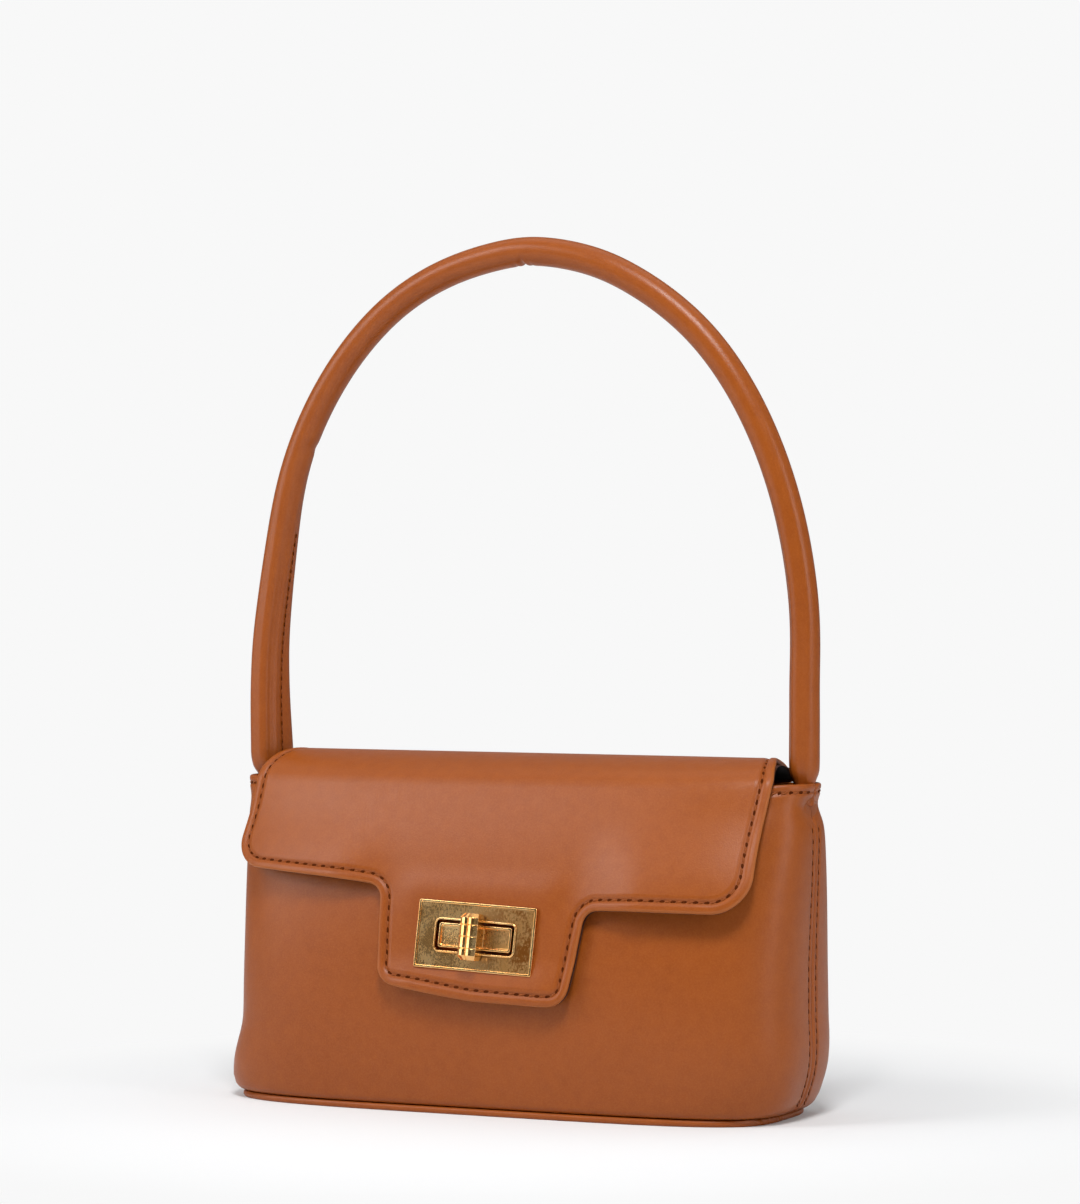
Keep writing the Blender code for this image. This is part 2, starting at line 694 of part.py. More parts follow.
def window_outline(grow):
    """The lock's window as a hole in the flap, in (x, s)."""
    lean = LOCK_OUT.y
    hole = rounded_box(WINDOW_WIDTH + 2 * grow, WINDOW_HEIGHT + 2 * grow, WINDOW_RADIUS + grow)
    middle = flap_s(LOCK_HEIGHT)
    cos, sin = math.cos(FLAP_SKEW), math.sin(FLAP_SKEW)
    turned = [(u * cos + v * sin, v * cos - u * sin) for u, v in hole]
    return [(x, middle - up * abs(lean)) for x, up in turned]


def seat_outline():
    """The flat that the lock's plate sits on, in (x, s), with its long sides divided."""
    across, up = PLATE_WIDTH / 2 + PLATE_FLAT_MARGIN, PLATE_HEIGHT / 2 + PLATE_FLAT_MARGIN
    low, high = flap_s(LOCK_HEIGHT - up), flap_s(LOCK_HEIGHT + up)
    return split([(-across, high), (across, high), (across, low), (-across, low)])


def add_flap_sheet(name, material, start, thickness, inset, top, hinge):
    """One of the flap's sheets, with the lock's window cut through it."""
    outer = flap_outline(inset, top)
    hole = window_outline(COLLAR_WALL + CLEARANCE)
    seat = seat_outline()
    clear = FLAP_CELL * FLAP_CELL_CLEAR_SHARE
    rows = heights(0.0, FLAP_ARCH_LENGTH, ARCH_STEP_COUNT)[1:]
    rows += heights(FLAP_ARCH_LENGTH, FLAP_ARCH_LENGTH + TAB_CENTRE_DROP, FLAP_FRONT_ROW_COUNT)[1:]
    grid = [(x, s) for s in rows for x in flap_columns()]
    fill = [p for p in grid if not inside(p, seat) and not near_outline(p, seat, clear)] + seat
    fill = [p for p in fill if inside(p, outer) and not near_outline(p, outer, clear)]
    flat, triangles = triangulate(outer, [hole], fill)
    top_points = [flap_point(p.x, p.y, start + thickness) for p in flat]
    low_points = [flap_point(p.x, p.y, start) for p in flat]
    points, faces = slab_solid(top_points, low_points, triangles)
    return add_piece(name, points, faces, material, hinge)


def handle_path(start, stations):
    """Points and directions along the handle's middle line, from one leg's foot to the other's."""
    half, foot = HANDLE_WIDTH / 2, HANDLE_FOOT_WIDTH / 2
    rise = HANDLE_RISE - HANDLE_LEG_RISE
    dense = []
    leg = HANDLE_LEG_RISE - PIVOT_LIFT - start
    for k in range(stations):
        share = k / stations
        dense.append((-(foot + (half - foot) * fade(share, 0, 1)), start + leg * share))
    for k in range(4 * stations + 1):
        turn = math.pi * k / (4 * stations)
        x = -half * math.copysign(abs(math.cos(turn)) ** (2 / HANDLE_SQUARENESS), math.cos(turn))
        z = HANDLE_LEG_RISE - PIVOT_LIFT + rise * abs(math.sin(turn)) ** (2 / HANDLE_SQUARENESS)
        dense.append((x, z))
    dense += [(-x, z) for x, z in reversed(dense[:stations])]
    line = np.array(dense)
    length = np.concatenate([[0], np.cumsum(np.linalg.norm(np.diff(line, axis=0), axis=1))])
    even = np.linspace(0, length[-1], stations + 1)
    return np.stack([np.interp(even, length, line[:, 0]), np.interp(even, length, line[:, 1])], 1)


def tube_rings(path, radius, ridge=0.0):
    """Sections square to a path in the X-Z plane, level at its two feet, round but for a sewn ridge."""
    rings = []
    for i, (x, z) in enumerate(path):
        before, after = path[max(0, i - 1)], path[min(len(path) - 1, i + 1)]
        along = after - before
        if i in (0, len(path) - 1):
            along = np.array([0.0, 1.0 if i == 0 else -1.0])
        along = along / np.linalg.norm(along)
        ring = []
        proud = ridge * max(0.0, 1 - z / RIDGE_LENGTH)
        for turn in [2 * math.pi * k / HANDLE_SIDE_COUNT for k in range(HANDLE_SIDE_COUNT)]:
            reach = radius + proud * max(0.0, math.cos(turn - RIDGE_TURN)) ** RIDGE_POWER
            out, deep = reach * math.cos(turn), reach * math.sin(turn)
            ring.append((x - along[1] * out, deep, z + along[0] * out))
        rings.append(ring)
    return rings


def make_body():
    """The shell: two panels on a base, stiffened, faced at the hem and lined."""
    for front, word in ((True, "front"), (False, "back")):
        add_wall(word + "_panel", LEATHER, front, 0.0, PANEL_THICKNESS,
                 PANEL_LOW, HEM_HEIGHT, WALL_ROW_COUNT)
        add_wall(word + "_interlining", BOARD, front, INTERLINING_START, INTERLINING_THICKNESS,
                 INNER_LOW, INNER_HIGH, WALL_ROW_COUNT, TAPE_COLUMN_COUNT + 1)
        add_wall("hem_facing_" + word, LEATHER, front, INTERLINING_START, FACING_THICKNESS,
                 FACING_LOW, HEM_HEIGHT, FACING_ROW_COUNT, TAB_COLUMN_COUNT + 1)
        add_wall("lining_" + word, LINING, front, LINING_START, LINING_THICKNESS,
                 INNER_LOW, LINING_HIGH, LINING_ROW_COUNT)
    add_oblong_slab("base_panel", LEATHER, -BASE_WELT, 0.0, BASE_THICKNESS, BASE_EDGE_RADIUS)
    add_oblong_slab("base_board", BOARD, BOARD_MARGIN, BOARD_LOW, BOARD_HIGH)
    add_oblong_slab("lining_base", LINING, BOARD_MARGIN, BASE_LINING_LOW, BASE_LINING_HIGH)
    for side, word in ((-1, "left"), (1, "right")):
        add_seam_strip("seam_tape_" + word, LEATHER, side, INTERLINING_START, INTERLINING_THICKNESS,
                       TAPE_COLUMN_COUNT, INNER_LOW, INNER_HIGH, WALL_ROW_COUNT)


def make_handle_tongues():
    """The flat tab sewn into each end of the hem, with the tongue that enters the rolled handle."""
    for side, word in ((-1, "left"), (1, "right")):
        tab = add_seam_strip("handle_tongue_" + word, LEATHER, side, INTERLINING_START, FACING_THICKNESS,
                             TAB_COLUMN_COUNT, HEM_HEIGHT - TAB_DEPTH, HEM_HEIGHT, FACING_ROW_COUNT)
        low = HEM_HEIGHT - TONGUE_DEPTH
        reach = body_half_width(HEM_HEIGHT) - PANEL_THICKNESS - 4 * CLEARANCE
        inner = PIVOT_X - TONGUE_WIDTH / 2
        neck = block("neck", (side * PIVOT_X, 0, (low + PIVOT_Z) / 2),
                     (TONGUE_WIDTH, TONGUE_THICKNESS, PIVOT_Z - low))
        outwards = Matrix.Rotation(side * math.pi / 2, 4, "Y")
        across = Matrix.Translation((side * inner, 0, PIVOT_Z)) @ outwards
        eye = round_bar("eye", TONGUE_EYE_RADIUS, 0, TONGUE_WIDTH, across)
        root = block("root", (side * (PIVOT_X + reach) / 2, 0, (low + HEM_HEIGHT) / 2),
                     (reach - PIVOT_X, TONGUE_THICKNESS, HEM_HEIGHT - low))
        boolean(tab, root, "UNION")
        boolean(tab, neck, "UNION")
        boolean(tab, eye, "UNION")


def make_handle():
    """The rolled cover, open at both feet, and the cord that fills it."""
    swing = add_axis("handle_swing_axis", (0, 0, PIVOT_Z))
    cover_path = handle_path(TUBE_START, HANDLE_STATION_COUNT)
    outer = tube_rings(cover_path, HANDLE_RADIUS, RIDGE_HEIGHT)
    inner = tube_rings(cover_path, HANDLE_RADIUS - HANDLE_WALL)
    points, faces = closed_solid(outer + inner[::-1])
    add_piece("handle_cover", points, faces, LEATHER, swing)
    core_path = handle_path(CORE_START, HANDLE_STATION_COUNT)
    points, faces = ring_solid(tube_rings(core_path, HANDLE_RADIUS - HANDLE_WALL - CORE_FIT))
    add_piece("handle_core", points, faces, CORD, swing)


def make_flap():
    """The flap's leather, board and lining, hung on its hinge line, and the strip sewn to the back."""
    hinge = add_axis("flap_open_axis", (0, HINGE_Y, HINGE_Z))
    add_flap_sheet("flap_leather", LEATHER, FLAP_LEATHER_START, FLAP_LEATHER_THICKNESS, 0.0, 0.0, hinge)
    add_flap_sheet("flap_board", BOARD, FLAP_BOARD_START, FLAP_BOARD_THICKNESS, FLAP_BOARD_INSET,
                   FLAP_ARCH_LENGTH + FLAP_BOARD_INSET, hinge)
    add_flap_sheet("flap_lining", LINING, 0.0, FLAP_LINING_THICKNESS, 0.0, 0.0, hinge)
    outer, inner = [], []
    reach = FLAP_WIDTH / 2
    for z in heights(HEM_HEIGHT - STRIP_HEIGHT, HEM_HEIGHT, FACING_ROW_COUNT):
        for grid, offset in ((outer, CLEARANCE + STRIP_THICKNESS), (inner, CLEARANCE)):
            row = []
            for k in range(STRIP_COLUMN_COUNT + 1):
                x = reach * (2 * k / STRIP_COLUMN_COUNT - 1)
                row.append((x, wall_y(x, z, False) + CLEARANCE / 2 + offset, z))
            grid.append(row)
    points, faces = sheet_solid(outer, inner)
    add_piece("flap_back_strip", points, faces, LEATHER)
    return hinge


def make_flap_plate(hinge):
    """The brass plate round the lock's window, its collar through the flap and the frame behind."""
    to_hinge = Matrix.Translation((0, -HINGE_Y, -HINGE_Z)) @ LOCK
    plate_outline = rounded_box(PLATE_WIDTH, PLATE_HEIGHT, PLATE_RIM_WIDTH / 2)
    window = rounded_box(WINDOW_WIDTH, WINDOW_HEIGHT, WINDOW_RADIUS)
    collar = rounded_box(WINDOW_WIDTH + 2 * COLLAR_WALL, WINDOW_HEIGHT + 2 * COLLAR_WALL,
                         WINDOW_RADIUS + COLLAR_WALL)
    inner_edge = rounded_box(PLATE_WIDTH - 2 * PLATE_RIM_WIDTH, PLATE_HEIGHT - 2 * PLATE_RIM_WIDTH,
                             PLATE_RIM_WIDTH / 2)
    plate = add_plate("flap_plate", BRASS, plate_outline, [window], PLATE_LOW, PLATE_HIGH)
    rim = add_plate("rim", BRASS, plate_outline, [inner_edge], PLATE_LOW + PLATE_THICKNESS / 2,
                    PLATE_HIGH + PLATE_RIM_HEIGHT)
    tube = add_plate("tube", BRASS, collar, [window], COLLAR_LOW, PLATE_HIGH + PLATE_RIM_HEIGHT)
    boolean(plate, rim, "UNION")
    boolean(plate, tube, "UNION")
    plate.parent = hinge
    plate.matrix_basis = to_hinge
    backing_outline = rounded_box(WINDOW_WIDTH + 2 * BACK_FRAME_BORDER,
                                  WINDOW_HEIGHT + 2 * BACK_FRAME_BORDER, WINDOW_RADIUS)
    frame = add_plate("flap_plate_backing", BRASS, backing_outline, [window],
                      BACK_FRAME_HIGH - BACK_FRAME_THICKNESS, BACK_FRAME_HIGH)
    frame.parent = hinge
    frame.matrix_basis = to_hinge


def make_lock_housing():
    """The fixed half of the lock: the housing in the window, its prongs and the plate inside."""
    outline = rounded_box(HOUSING_WIDTH, HOUSING_HEIGHT, WINDOW_RADIUS / 2)
    housing = add_plate("lock_housing", BRASS, outline, [], HOUSING_LOW, HOUSING_HIGH)
    pocket_width = (HOUSING_WIDTH - POCKET_SPACE) / 2 - 2 * HOUSING_RIM
    pocket_x = (POCKET_SPACE + pocket_width) / 2 + HOUSING_RIM
    pocket_size = (pocket_width, HOUSING_HEIGHT - 2 * HOUSING_RIM, POCKET_DEPTH + CUT_OVERRUN)
    pocket_middle = HOUSING_HIGH + (CUT_OVERRUN - POCKET_DEPTH) / 2
    prong_low = LOCK_BACK_LOW - CLEARANCE
    prong_high = HOUSING_LOW + RECESS_DEPTH / 2
    prong_size = (PRONG_THICKNESS, PRONG_WIDTH, prong_high - prong_low)
    for side in (-1, 1):
        boolean(housing, block("pocket", (side * pocket_x, 0, pocket_middle), pocket_size), "DIFFERENCE")
        prong_place = (side * PRONG_SPACING / 2, 0, (prong_low + prong_high) / 2)
        boolean(housing, block("prong", prong_place, prong_size), "UNION")
    bore = SPINDLE_RADIUS + SPINDLE_FIT
    above, below = HOUSING_HIGH + CUT_OVERRUN, HOUSING_LOW - CUT_OVERRUN
    boolean(housing, round_bar("bore", bore, HOUSING_LOW, above), "DIFFERENCE")
    boolean(housing, round_bar("recess", RECESS_RADIUS, below, HOUSING_LOW + RECESS_DEPTH), "DIFFERENCE")
    housing.matrix_world = LOCK
    slots = []
    for side in (-1, 1):
        u, v = PRONG_THICKNESS / 2 + CLEARANCE, PRONG_WIDTH / 2 + CLEARANCE
        middle = side * PRONG_SPACING / 2
        slots.append([(middle - u, -v), (middle + u, -v), (middle + u, v), (middle - u, v)])
    outline = rounded_box(LOCK_BACK_WIDTH, LOCK_BACK_HEIGHT, WINDOW_RADIUS)
    add_plate("lock_back_plate", BRASS, outline, slots, LOCK_BACK_LOW, LOCK_BACK_HIGH, None, LOCK)
    slit_size = (PRONG_THICKNESS + 2 * CLEARANCE, PRONG_WIDTH + 2 * CLEARANCE,
                 INTERLINING_END + 2 * CUT_OVERRUN)
    for name in ("front_panel", "front_interlining"):
        for side in (-1, 1):
            slit = block("slit", (side * PRONG_SPACING / 2, 0, -INTERLINING_END / 2), slit_size, LOCK)
            boolean(bpy.data.objects[name], slit, "DIFFERENCE")


def knob_section(v, width, high):
    """The knob's section at one place along it: a bar with its outer edges chamfered."""
    half, face, edge = width / 2, width / 2 - KNOB_CHAMFER, high - KNOB_CHAMFER
    return [(-half, v, KNOB_LOW), (half, v, KNOB_LOW), (half, v, edge), (face, v, high),
            (-face, v, high), (-half, v, edge)]


def make_turn_knob():
    """The bar that turns, its spindle, the ring that keeps it and the wavy spring under the ring."""
    turn = add_axis("knob_turn_axis", None, LOCK)
    half = KNOB_LENGTH / 2
    ends = [(-half, KNOB_END_CHAMFER), (-half + KNOB_END_CHAMFER, 0.0),
            (half - KNOB_END_CHAMFER, 0.0), (half, KNOB_END_CHAMFER)]
    rings = [knob_section(v, KNOB_WIDTH - cut, KNOB_TOP - cut) for v, cut in ends]
    points, faces = ring_solid(rings)
    knob = add_piece("turn_knob", points, faces, BRASS)
    spindle_low = HOUSING_LOW + CLEARANCE
    boolean(knob, round_bar("spindle", SPINDLE_RADIUS, spindle_low, KNOB_LOW + KNOB_HEIGHT / 2), "UNION")
    knob.parent = turn
    bore = SPINDLE_RADIUS + SPINDLE_FIT
    ring_high = spindle_low + RING_THICKNESS
    add_plate("spindle_ring", STEEL, circle(RING_RADIUS), [circle(bore)], spindle_low, ring_high, turn)
    spring_low = ring_high + CLEARANCE / 2 + SPRING_WAVE
    spring_high = spring_low + SPRING_THICKNESS
    rings = []
    for radius, w in ((RING_RADIUS, spring_low), (RING_RADIUS, spring_high), (bore, spring_high),
                      (bore, spring_low)):
        rings.append([(u, v, w + SPRING_WAVE * (u * u - v * v) / radius ** 2) for u, v in circle(radius)])
    points, faces = closed_solid(rings)
    add_piece("detent_spring", points, faces, STEEL, None, LOCK)


def shade():
    """Round pieces shade smooth, with their edges kept sharp."""
    for piece in bpy.data.objects:
        if piece.type == "MESH":
            piece.data.shade_smooth()
            piece.data.set_sharp_from_angle(angle=math.radians(35))


clear_scene()
make_body()
make_handle_tongues()
make_handle()
flap_hinge = make_flap()
make_flap_plate(flap_hinge)
make_lock_housing()
make_turn_knob()
shade()
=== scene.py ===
# %% [markdown]
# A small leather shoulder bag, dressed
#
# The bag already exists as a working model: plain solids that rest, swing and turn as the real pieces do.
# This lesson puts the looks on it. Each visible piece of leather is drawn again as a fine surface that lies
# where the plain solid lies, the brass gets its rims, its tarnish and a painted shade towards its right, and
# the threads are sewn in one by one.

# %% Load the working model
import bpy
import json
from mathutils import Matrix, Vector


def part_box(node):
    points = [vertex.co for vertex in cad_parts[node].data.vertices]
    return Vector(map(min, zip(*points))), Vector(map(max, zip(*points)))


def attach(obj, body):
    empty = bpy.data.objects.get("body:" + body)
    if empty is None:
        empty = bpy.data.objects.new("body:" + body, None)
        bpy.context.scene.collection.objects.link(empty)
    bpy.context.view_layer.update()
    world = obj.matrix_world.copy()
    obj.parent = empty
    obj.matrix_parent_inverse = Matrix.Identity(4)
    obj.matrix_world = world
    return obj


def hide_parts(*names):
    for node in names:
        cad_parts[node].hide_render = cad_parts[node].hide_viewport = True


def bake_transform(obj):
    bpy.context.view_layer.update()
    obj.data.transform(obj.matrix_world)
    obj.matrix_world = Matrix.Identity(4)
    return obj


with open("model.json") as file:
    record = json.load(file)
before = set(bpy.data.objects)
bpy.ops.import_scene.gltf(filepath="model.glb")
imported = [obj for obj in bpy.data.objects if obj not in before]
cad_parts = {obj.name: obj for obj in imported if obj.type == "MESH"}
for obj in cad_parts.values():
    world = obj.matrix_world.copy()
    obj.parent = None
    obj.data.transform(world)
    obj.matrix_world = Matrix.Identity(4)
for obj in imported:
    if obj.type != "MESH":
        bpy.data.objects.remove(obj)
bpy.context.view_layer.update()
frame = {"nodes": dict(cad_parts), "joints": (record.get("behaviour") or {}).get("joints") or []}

# %% Other tools
import json
import math

import bmesh
import bpy
import numpy as np
from mathutils import Matrix, Vector
from mathutils.geometry import delaunay_2d_cdt

# %% [markdown]
# The body's outside
#
# A soft bag of this kind is a front and a back panel sewn together at the sides and round a flat base. Seen
# from above it is a rounded oblong; seen from the side it swells low down and draws in to the hem. One could
# loft it by hand between curves, but a formula keeps every sheet of the wall, inside and out, at its exact
# distance from the next: the plan is a superellipse, and its width, depth and squareness follow the height.

# %% Sizes of the body, in metres
WAIST_WIDTH = 0.2266
HEM_WIDTH = 0.2304
WAIST_REACH = (0.050, 0.110)
FOOT_FLARE = 0.0018
FOOT_FLARE_PLACE = (0.0160, 0.0110)  # height, reach
FOOT_TUCK = 0.0050
FOOT_TUCK_HEIGHT = 0.0090
HEM_HEIGHT = 0.1200
BULGE_HEIGHT = 0.0380
FRONT_DEPTHS = (0.0377, 0.0423, 0.0230)  # base, bulge, hem
BACK_DEPTHS = (0.0350, 0.0400, 0.0180)
BULGE_POWERS = (2, 2.1)  # below the bulge, above it
BASE_SQUARENESS = 4.0
HEM_SQUARENESS = 3.6
SQUARENESS_POWER = 1.5
SEAM_HALF_GAP = 0.00015
FOOT_SHIFT = 0.0054
FOOT_SHIFT_TOP = 0.032
HEM_SHIFT = 0.0010
HEM_SHIFT_REACH = (0.100, 0.118)
HEM_END_RISE = 0.0015
HEM_END_REACH = (0.085, 0.112)
HEM_END_LOW = 0.095
print("depth at the bulge:", FRONT_DEPTHS[1] + BACK_DEPTHS[1])


# %% The wall as a formula
def fade(value, low, high):
    """0 below low, 1 above high, and the smooth cubic 3t^2 - 2t^3 between."""
    share = np.clip((value - low) / (high - low), 0, 1)
    return share * share * (3 - 2 * share)


def bump(value, middle, width):
    """The bell exp(-((value - middle) / width)^2)."""
    return np.exp(-((value - middle) / width) ** 2)


def half_width(z):
    """Half the body's width: a waist widening to the hem, a flare over the base and a tuck at the foot."""
    flare = FOOT_FLARE * bump(z, *FOOT_FLARE_PLACE)
    tuck = FOOT_TUCK * np.clip(1 - z / FOOT_TUCK_HEIGHT, 0, 1) ** 2
    return WAIST_WIDTH / 2 + (HEM_WIDTH - WAIST_WIDTH) / 2 * fade(z, *WAIST_REACH) + flare - tuck


def body_depth(z, front):
    """The middle's distance from the side seams' plane: the bulge less a power of the height's share."""
    base, bulge, hem = FRONT_DEPTHS if front else BACK_DEPTHS
    rise = np.clip((z - BULGE_HEIGHT) / (HEM_HEIGHT - BULGE_HEIGHT), 0, None)
    fall = np.clip((BULGE_HEIGHT - z) / BULGE_HEIGHT, 0, 1)
    return bulge - (bulge - hem) * rise ** BULGE_POWERS[1] - (bulge - base) * fall ** BULGE_POWERS[0]


def squareness(z):
    """The superellipse's exponent, larger at the base than at the hem."""
    fall = np.clip(1 - z / HEM_HEIGHT, 0, 1)
    return HEM_SQUARENESS + (BASE_SQUARENESS - HEM_SQUARENESS) * fall ** SQUARENESS_POWER


def wall_y(x, z, front):
    """The wall's distance from the seams' plane: depth * (1 - (|x| / half width)^n)^(1 / n)."""
    power = squareness(z)
    share = np.clip(np.abs(x) / half_width(z), 0, 1)
    return body_depth(z, front) * (1 - share ** power) ** (1 / power)


def settled(x, z):
    """The foot and the hem lean a little to the left, and the hem's ends stand higher than its middle."""
    rise = HEM_END_RISE * fade(np.abs(x), *HEM_END_REACH) * fade(z, HEM_END_LOW, HEM_HEIGHT)
    return x - FOOT_SHIFT * (1 - fade(z, 0, FOOT_SHIFT_TOP)) - HEM_SHIFT * fade(z, *HEM_SHIFT_REACH), z + rise


def wall_point(turn, z, front, offset):
    """A point of the wall, offset inwards: x = half * cos(turn)^(2/n), y = depth * sin(turn)^(2/n)."""
    power = 2 / squareness(z)
    cos, sin = np.cos(turn), np.abs(np.sin(turn))
    x = (half_width(z) - offset) * np.sign(cos) * np.abs(cos) ** power
    y = (body_depth(z, front) - offset) * sin ** power + SEAM_HALF_GAP
    x, height = settled(x, z)
    return np.stack([x, -y if front else y, height], -1)


print("half width at the hem:", round(half_width(HEM_HEIGHT), 4))

# %% [markdown]
# From grids to meshes
#
# Every surface here is a grid of points, so a few helpers turn grids into faces: a closed sheet between two
# grids, and a skin through rings. Blender could make the wall thickness with Solidify, but the folded and
# painted edges of leather are round, and a closed grid can carry that roundness in its own points.


# %% Faces
def quads(index):
    """Quads between the neighbours of a grid of point numbers."""
    return np.stack([index[:-1, :-1], index[:-1, 1:], index[1:, 1:], index[1:, :-1]], -1).reshape(-1, 4)


def sheet_faces(rows, columns):
    """The faces of a closed sheet: an outer grid, an inner grid after it, and a strip round their border."""
    outer = np.arange(rows * columns).reshape(rows, columns)
    inner = outer + rows * columns
    loop = np.concatenate([outer[0, :-1], outer[:-1, -1], outer[-1, :0:-1], outer[:0:-1, 0]])
    after = np.roll(loop, -1)
    rim = np.stack([after, loop, loop + rows * columns, after + rows * columns], -1)
    return np.concatenate([quads(outer), quads(inner)[:, ::-1], rim])


def ring_faces(rings, count, wrap=False):
    """The faces of a skin through rings of the same count; wrap joins the last ring to the first."""
    index = np.arange(rings * count).reshape(rings, count)
    if wrap:
        index = np.vstack([index, index[:1]])
    return quads(np.hstack([index, index[:, :1]]))


def capped(rings, count):
    """Two groups of faces: the skin through rings, and the caps on the first ring and the last."""
    ring = np.arange(count)
    return [ring_faces(rings, count), np.stack([ring[::-1], (rings - 1) * count + ring])]


print("faces of a sheet of 3 by 4 points:", len(sheet_faces(3, 4)))


# %% Pieces
def unit(vectors):
    """Each vector divided by its length."""
    return vectors / np.maximum(np.linalg.norm(vectors, axis=-1, keepdims=True), 1e-12)


def volume(points, groups):
    """Six times the signed volume: the sum of a . (b x c) over the fans of all faces."""
    fans = [group[:, [0, k, k + 1]] for group in groups for k in range(1, group.shape[1] - 1)]
    corners = points[np.concatenate(fans)]
    return np.einsum("ij,ij->", corners[:, 0], np.cross(corners[:, 1], corners[:, 2]))


def make_piece(name, points, groups, materials, weld=0.0, sharp=40, values=None, indices=None):
    """An object at the origin, its face groups turned outwards; values are named numbers on its points."""
    points = np.asarray(points, float).reshape(-1, 3)
    if volume(points, groups) < 0:
        groups = [group[:, ::-1] for group in groups]
    mesh = bpy.data.meshes.new(name)
    mesh.from_pydata(points.tolist(), [], [face for group in groups for face in group.tolist()])
    for word, numbers in (values or {}).items():
        layer = mesh.attributes.new(word, "FLOAT", "POINT")
        layer.data.foreach_set("value", np.asarray(numbers, np.float32).ravel())
    for material in materials:
        mesh.materials.append(material)
    if indices is not None:
        mesh.polygons.foreach_set("material_index", np.asarray(indices, np.int32))
    if weld > 0:
        work = bmesh.new()
        work.from_mesh(mesh)
        bmesh.ops.remove_doubles(work, verts=work.verts, dist=weld)
        bmesh.ops.dissolve_degenerate(work, edges=work.edges, dist=weld)
        work.to_mesh(mesh)
        work.free()
    mesh.shade_smooth()
    mesh.set_sharp_from_angle(angle=math.radians(sharp))
    piece = bpy.data.objects.new(name, mesh)
    bpy.context.collection.objects.link(piece)
    print(name, len(mesh.vertices), "points", len(mesh.polygons), "faces")
    return piece


def dress(piece, slot, nodes, *bodies):
    """Hide the plain nodes that the piece replaces and hang it on the one body it rides; given more bodies,
    it is only left where it lies. The slot is not used.
    """
    if nodes:
        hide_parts(*nodes)
    if len(bodies) == 1:
        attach(piece, *bodies)
    else:
        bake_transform(piece)


# %% [markdown]
# Writing materials as sums
#
# A procedural material is arithmetic on patterns, and in Blender each sum is a node. A small class wraps a
# node's output and overloads the operators, so that a sum in Python adds its Math nodes. What is the same
# all over a surface is set on the shader itself; only what varies goes through nodes.


# %% A wire that can be added and multiplied
class Wire:
    """One output of a node, on which sums and other nodes are built."""

    def __init__(self, tree, socket=None):
        self.tree = tree
        self.socket = socket

    def node(self, kind, settings=None, inputs=None, output=0):
        """Add a node of a type: first its settings, then its inputs' values or wires."""
        made = self.tree.nodes.new(kind)
        for word, value in (settings or {}).items():
            setattr(made, word, value)
        for word, value in (inputs or {}).items():
            if isinstance(value, Wire):
                self.tree.links.new(value.socket, made.inputs[word])
            else:
                made.inputs[word].default_value = value
        return Wire(self.tree, made.outputs[output])

    def math(self, operation, *values):
        """A Math node on two values."""
        return self.node("ShaderNodeMath", {"operation": operation}, dict(enumerate(values)))

    def __add__(self, other):
        return self.math("ADD", self, other)

    __radd__ = __add__

    def __sub__(self, other):
        return self.math("SUBTRACT", self, other)

    def __rsub__(self, other):
        return self.math("SUBTRACT", other, self)

    def __mul__(self, other):
        return self.math("MULTIPLY", self, other)

    __rmul__ = __mul__

    def between(self, low, high):
        """0 below low, 1 above high, smooth between."""
        return self.node("ShaderNodeMapRange", {"interpolation_type": "SMOOTHSTEP"},
                         {"Value": self, "From Min": low, "From Max": high})

    def blend(self, first, second):
        """A colour between two others, by this wire's value."""
        return self.node("ShaderNodeMix", {"data_type": "RGBA"}, {0: self, 6: first, 7: second}, 2)

    def vector(self, operation, other=(0, 0, 0), output=0):
        """A Vector Math node on this wire and another vector; output 1 is its number."""
        return self.node("ShaderNodeVectorMath", {"operation": operation}, {0: self, 1: other}, output)

    def noise(self, scale, detail=2.0, roughness=0.5):
        """Soft noise between 0 and 1 at this place, at so many waves a metre."""
        return self.node("ShaderNodeTexNoise", {}, {"Vector": self, "Scale": scale, "Detail": detail,
                                                    "Roughness": roughness})

    def number(self, name):
        """The number of that name that the mesh carries on its points."""
        return self.node("ShaderNodeAttribute", {"attribute_name": name}, {}, 2)


def start_material(name, **settings):
    """The wire of a new material's Object coordinates, and a call that links wires to its shader."""
    material = bpy.data.materials.new(name)
    material.use_nodes = True
    tree = material.node_tree
    shader = tree.nodes["Principled BSDF"]
    for word, value in settings.items():
        shader.inputs[word.replace("_", " ")].default_value = value

    def finish(height, step, **wires):
        for word, wire in wires.items():
            tree.links.new(wire.socket, shader.inputs[word.replace("_", " ")])
        raised = height.node("ShaderNodeBump", {}, {"Height": height, "Distance": step, "Strength": 1.0})
        tree.links.new(raised.socket, shader.inputs["Normal"])
        print("material:", name)
        return material

    return finish, Wire(tree).node("ShaderNodeTexCoord", {}, {}, 3)


# %% [markdown]
# Smooth calf leather
#
# Smooth leather is dyed through and finished with a thin clear coat, so its gloss is soft and broad. Close
# up it shows a fine grain, and from a step away a slow drift in tone. Fine noise gives the grain a height of
# a few hundredths of a millimetre, slower noises shift the colour, and fine specks of lighter tan lie in it.

# %% Leather
TAN_DEEP = (0.255, 0.053, 0.0040, 1)
TAN = (0.305, 0.069, 0.0060, 1)
TAN_EDGE = (0.390, 0.112, 0.020, 1)


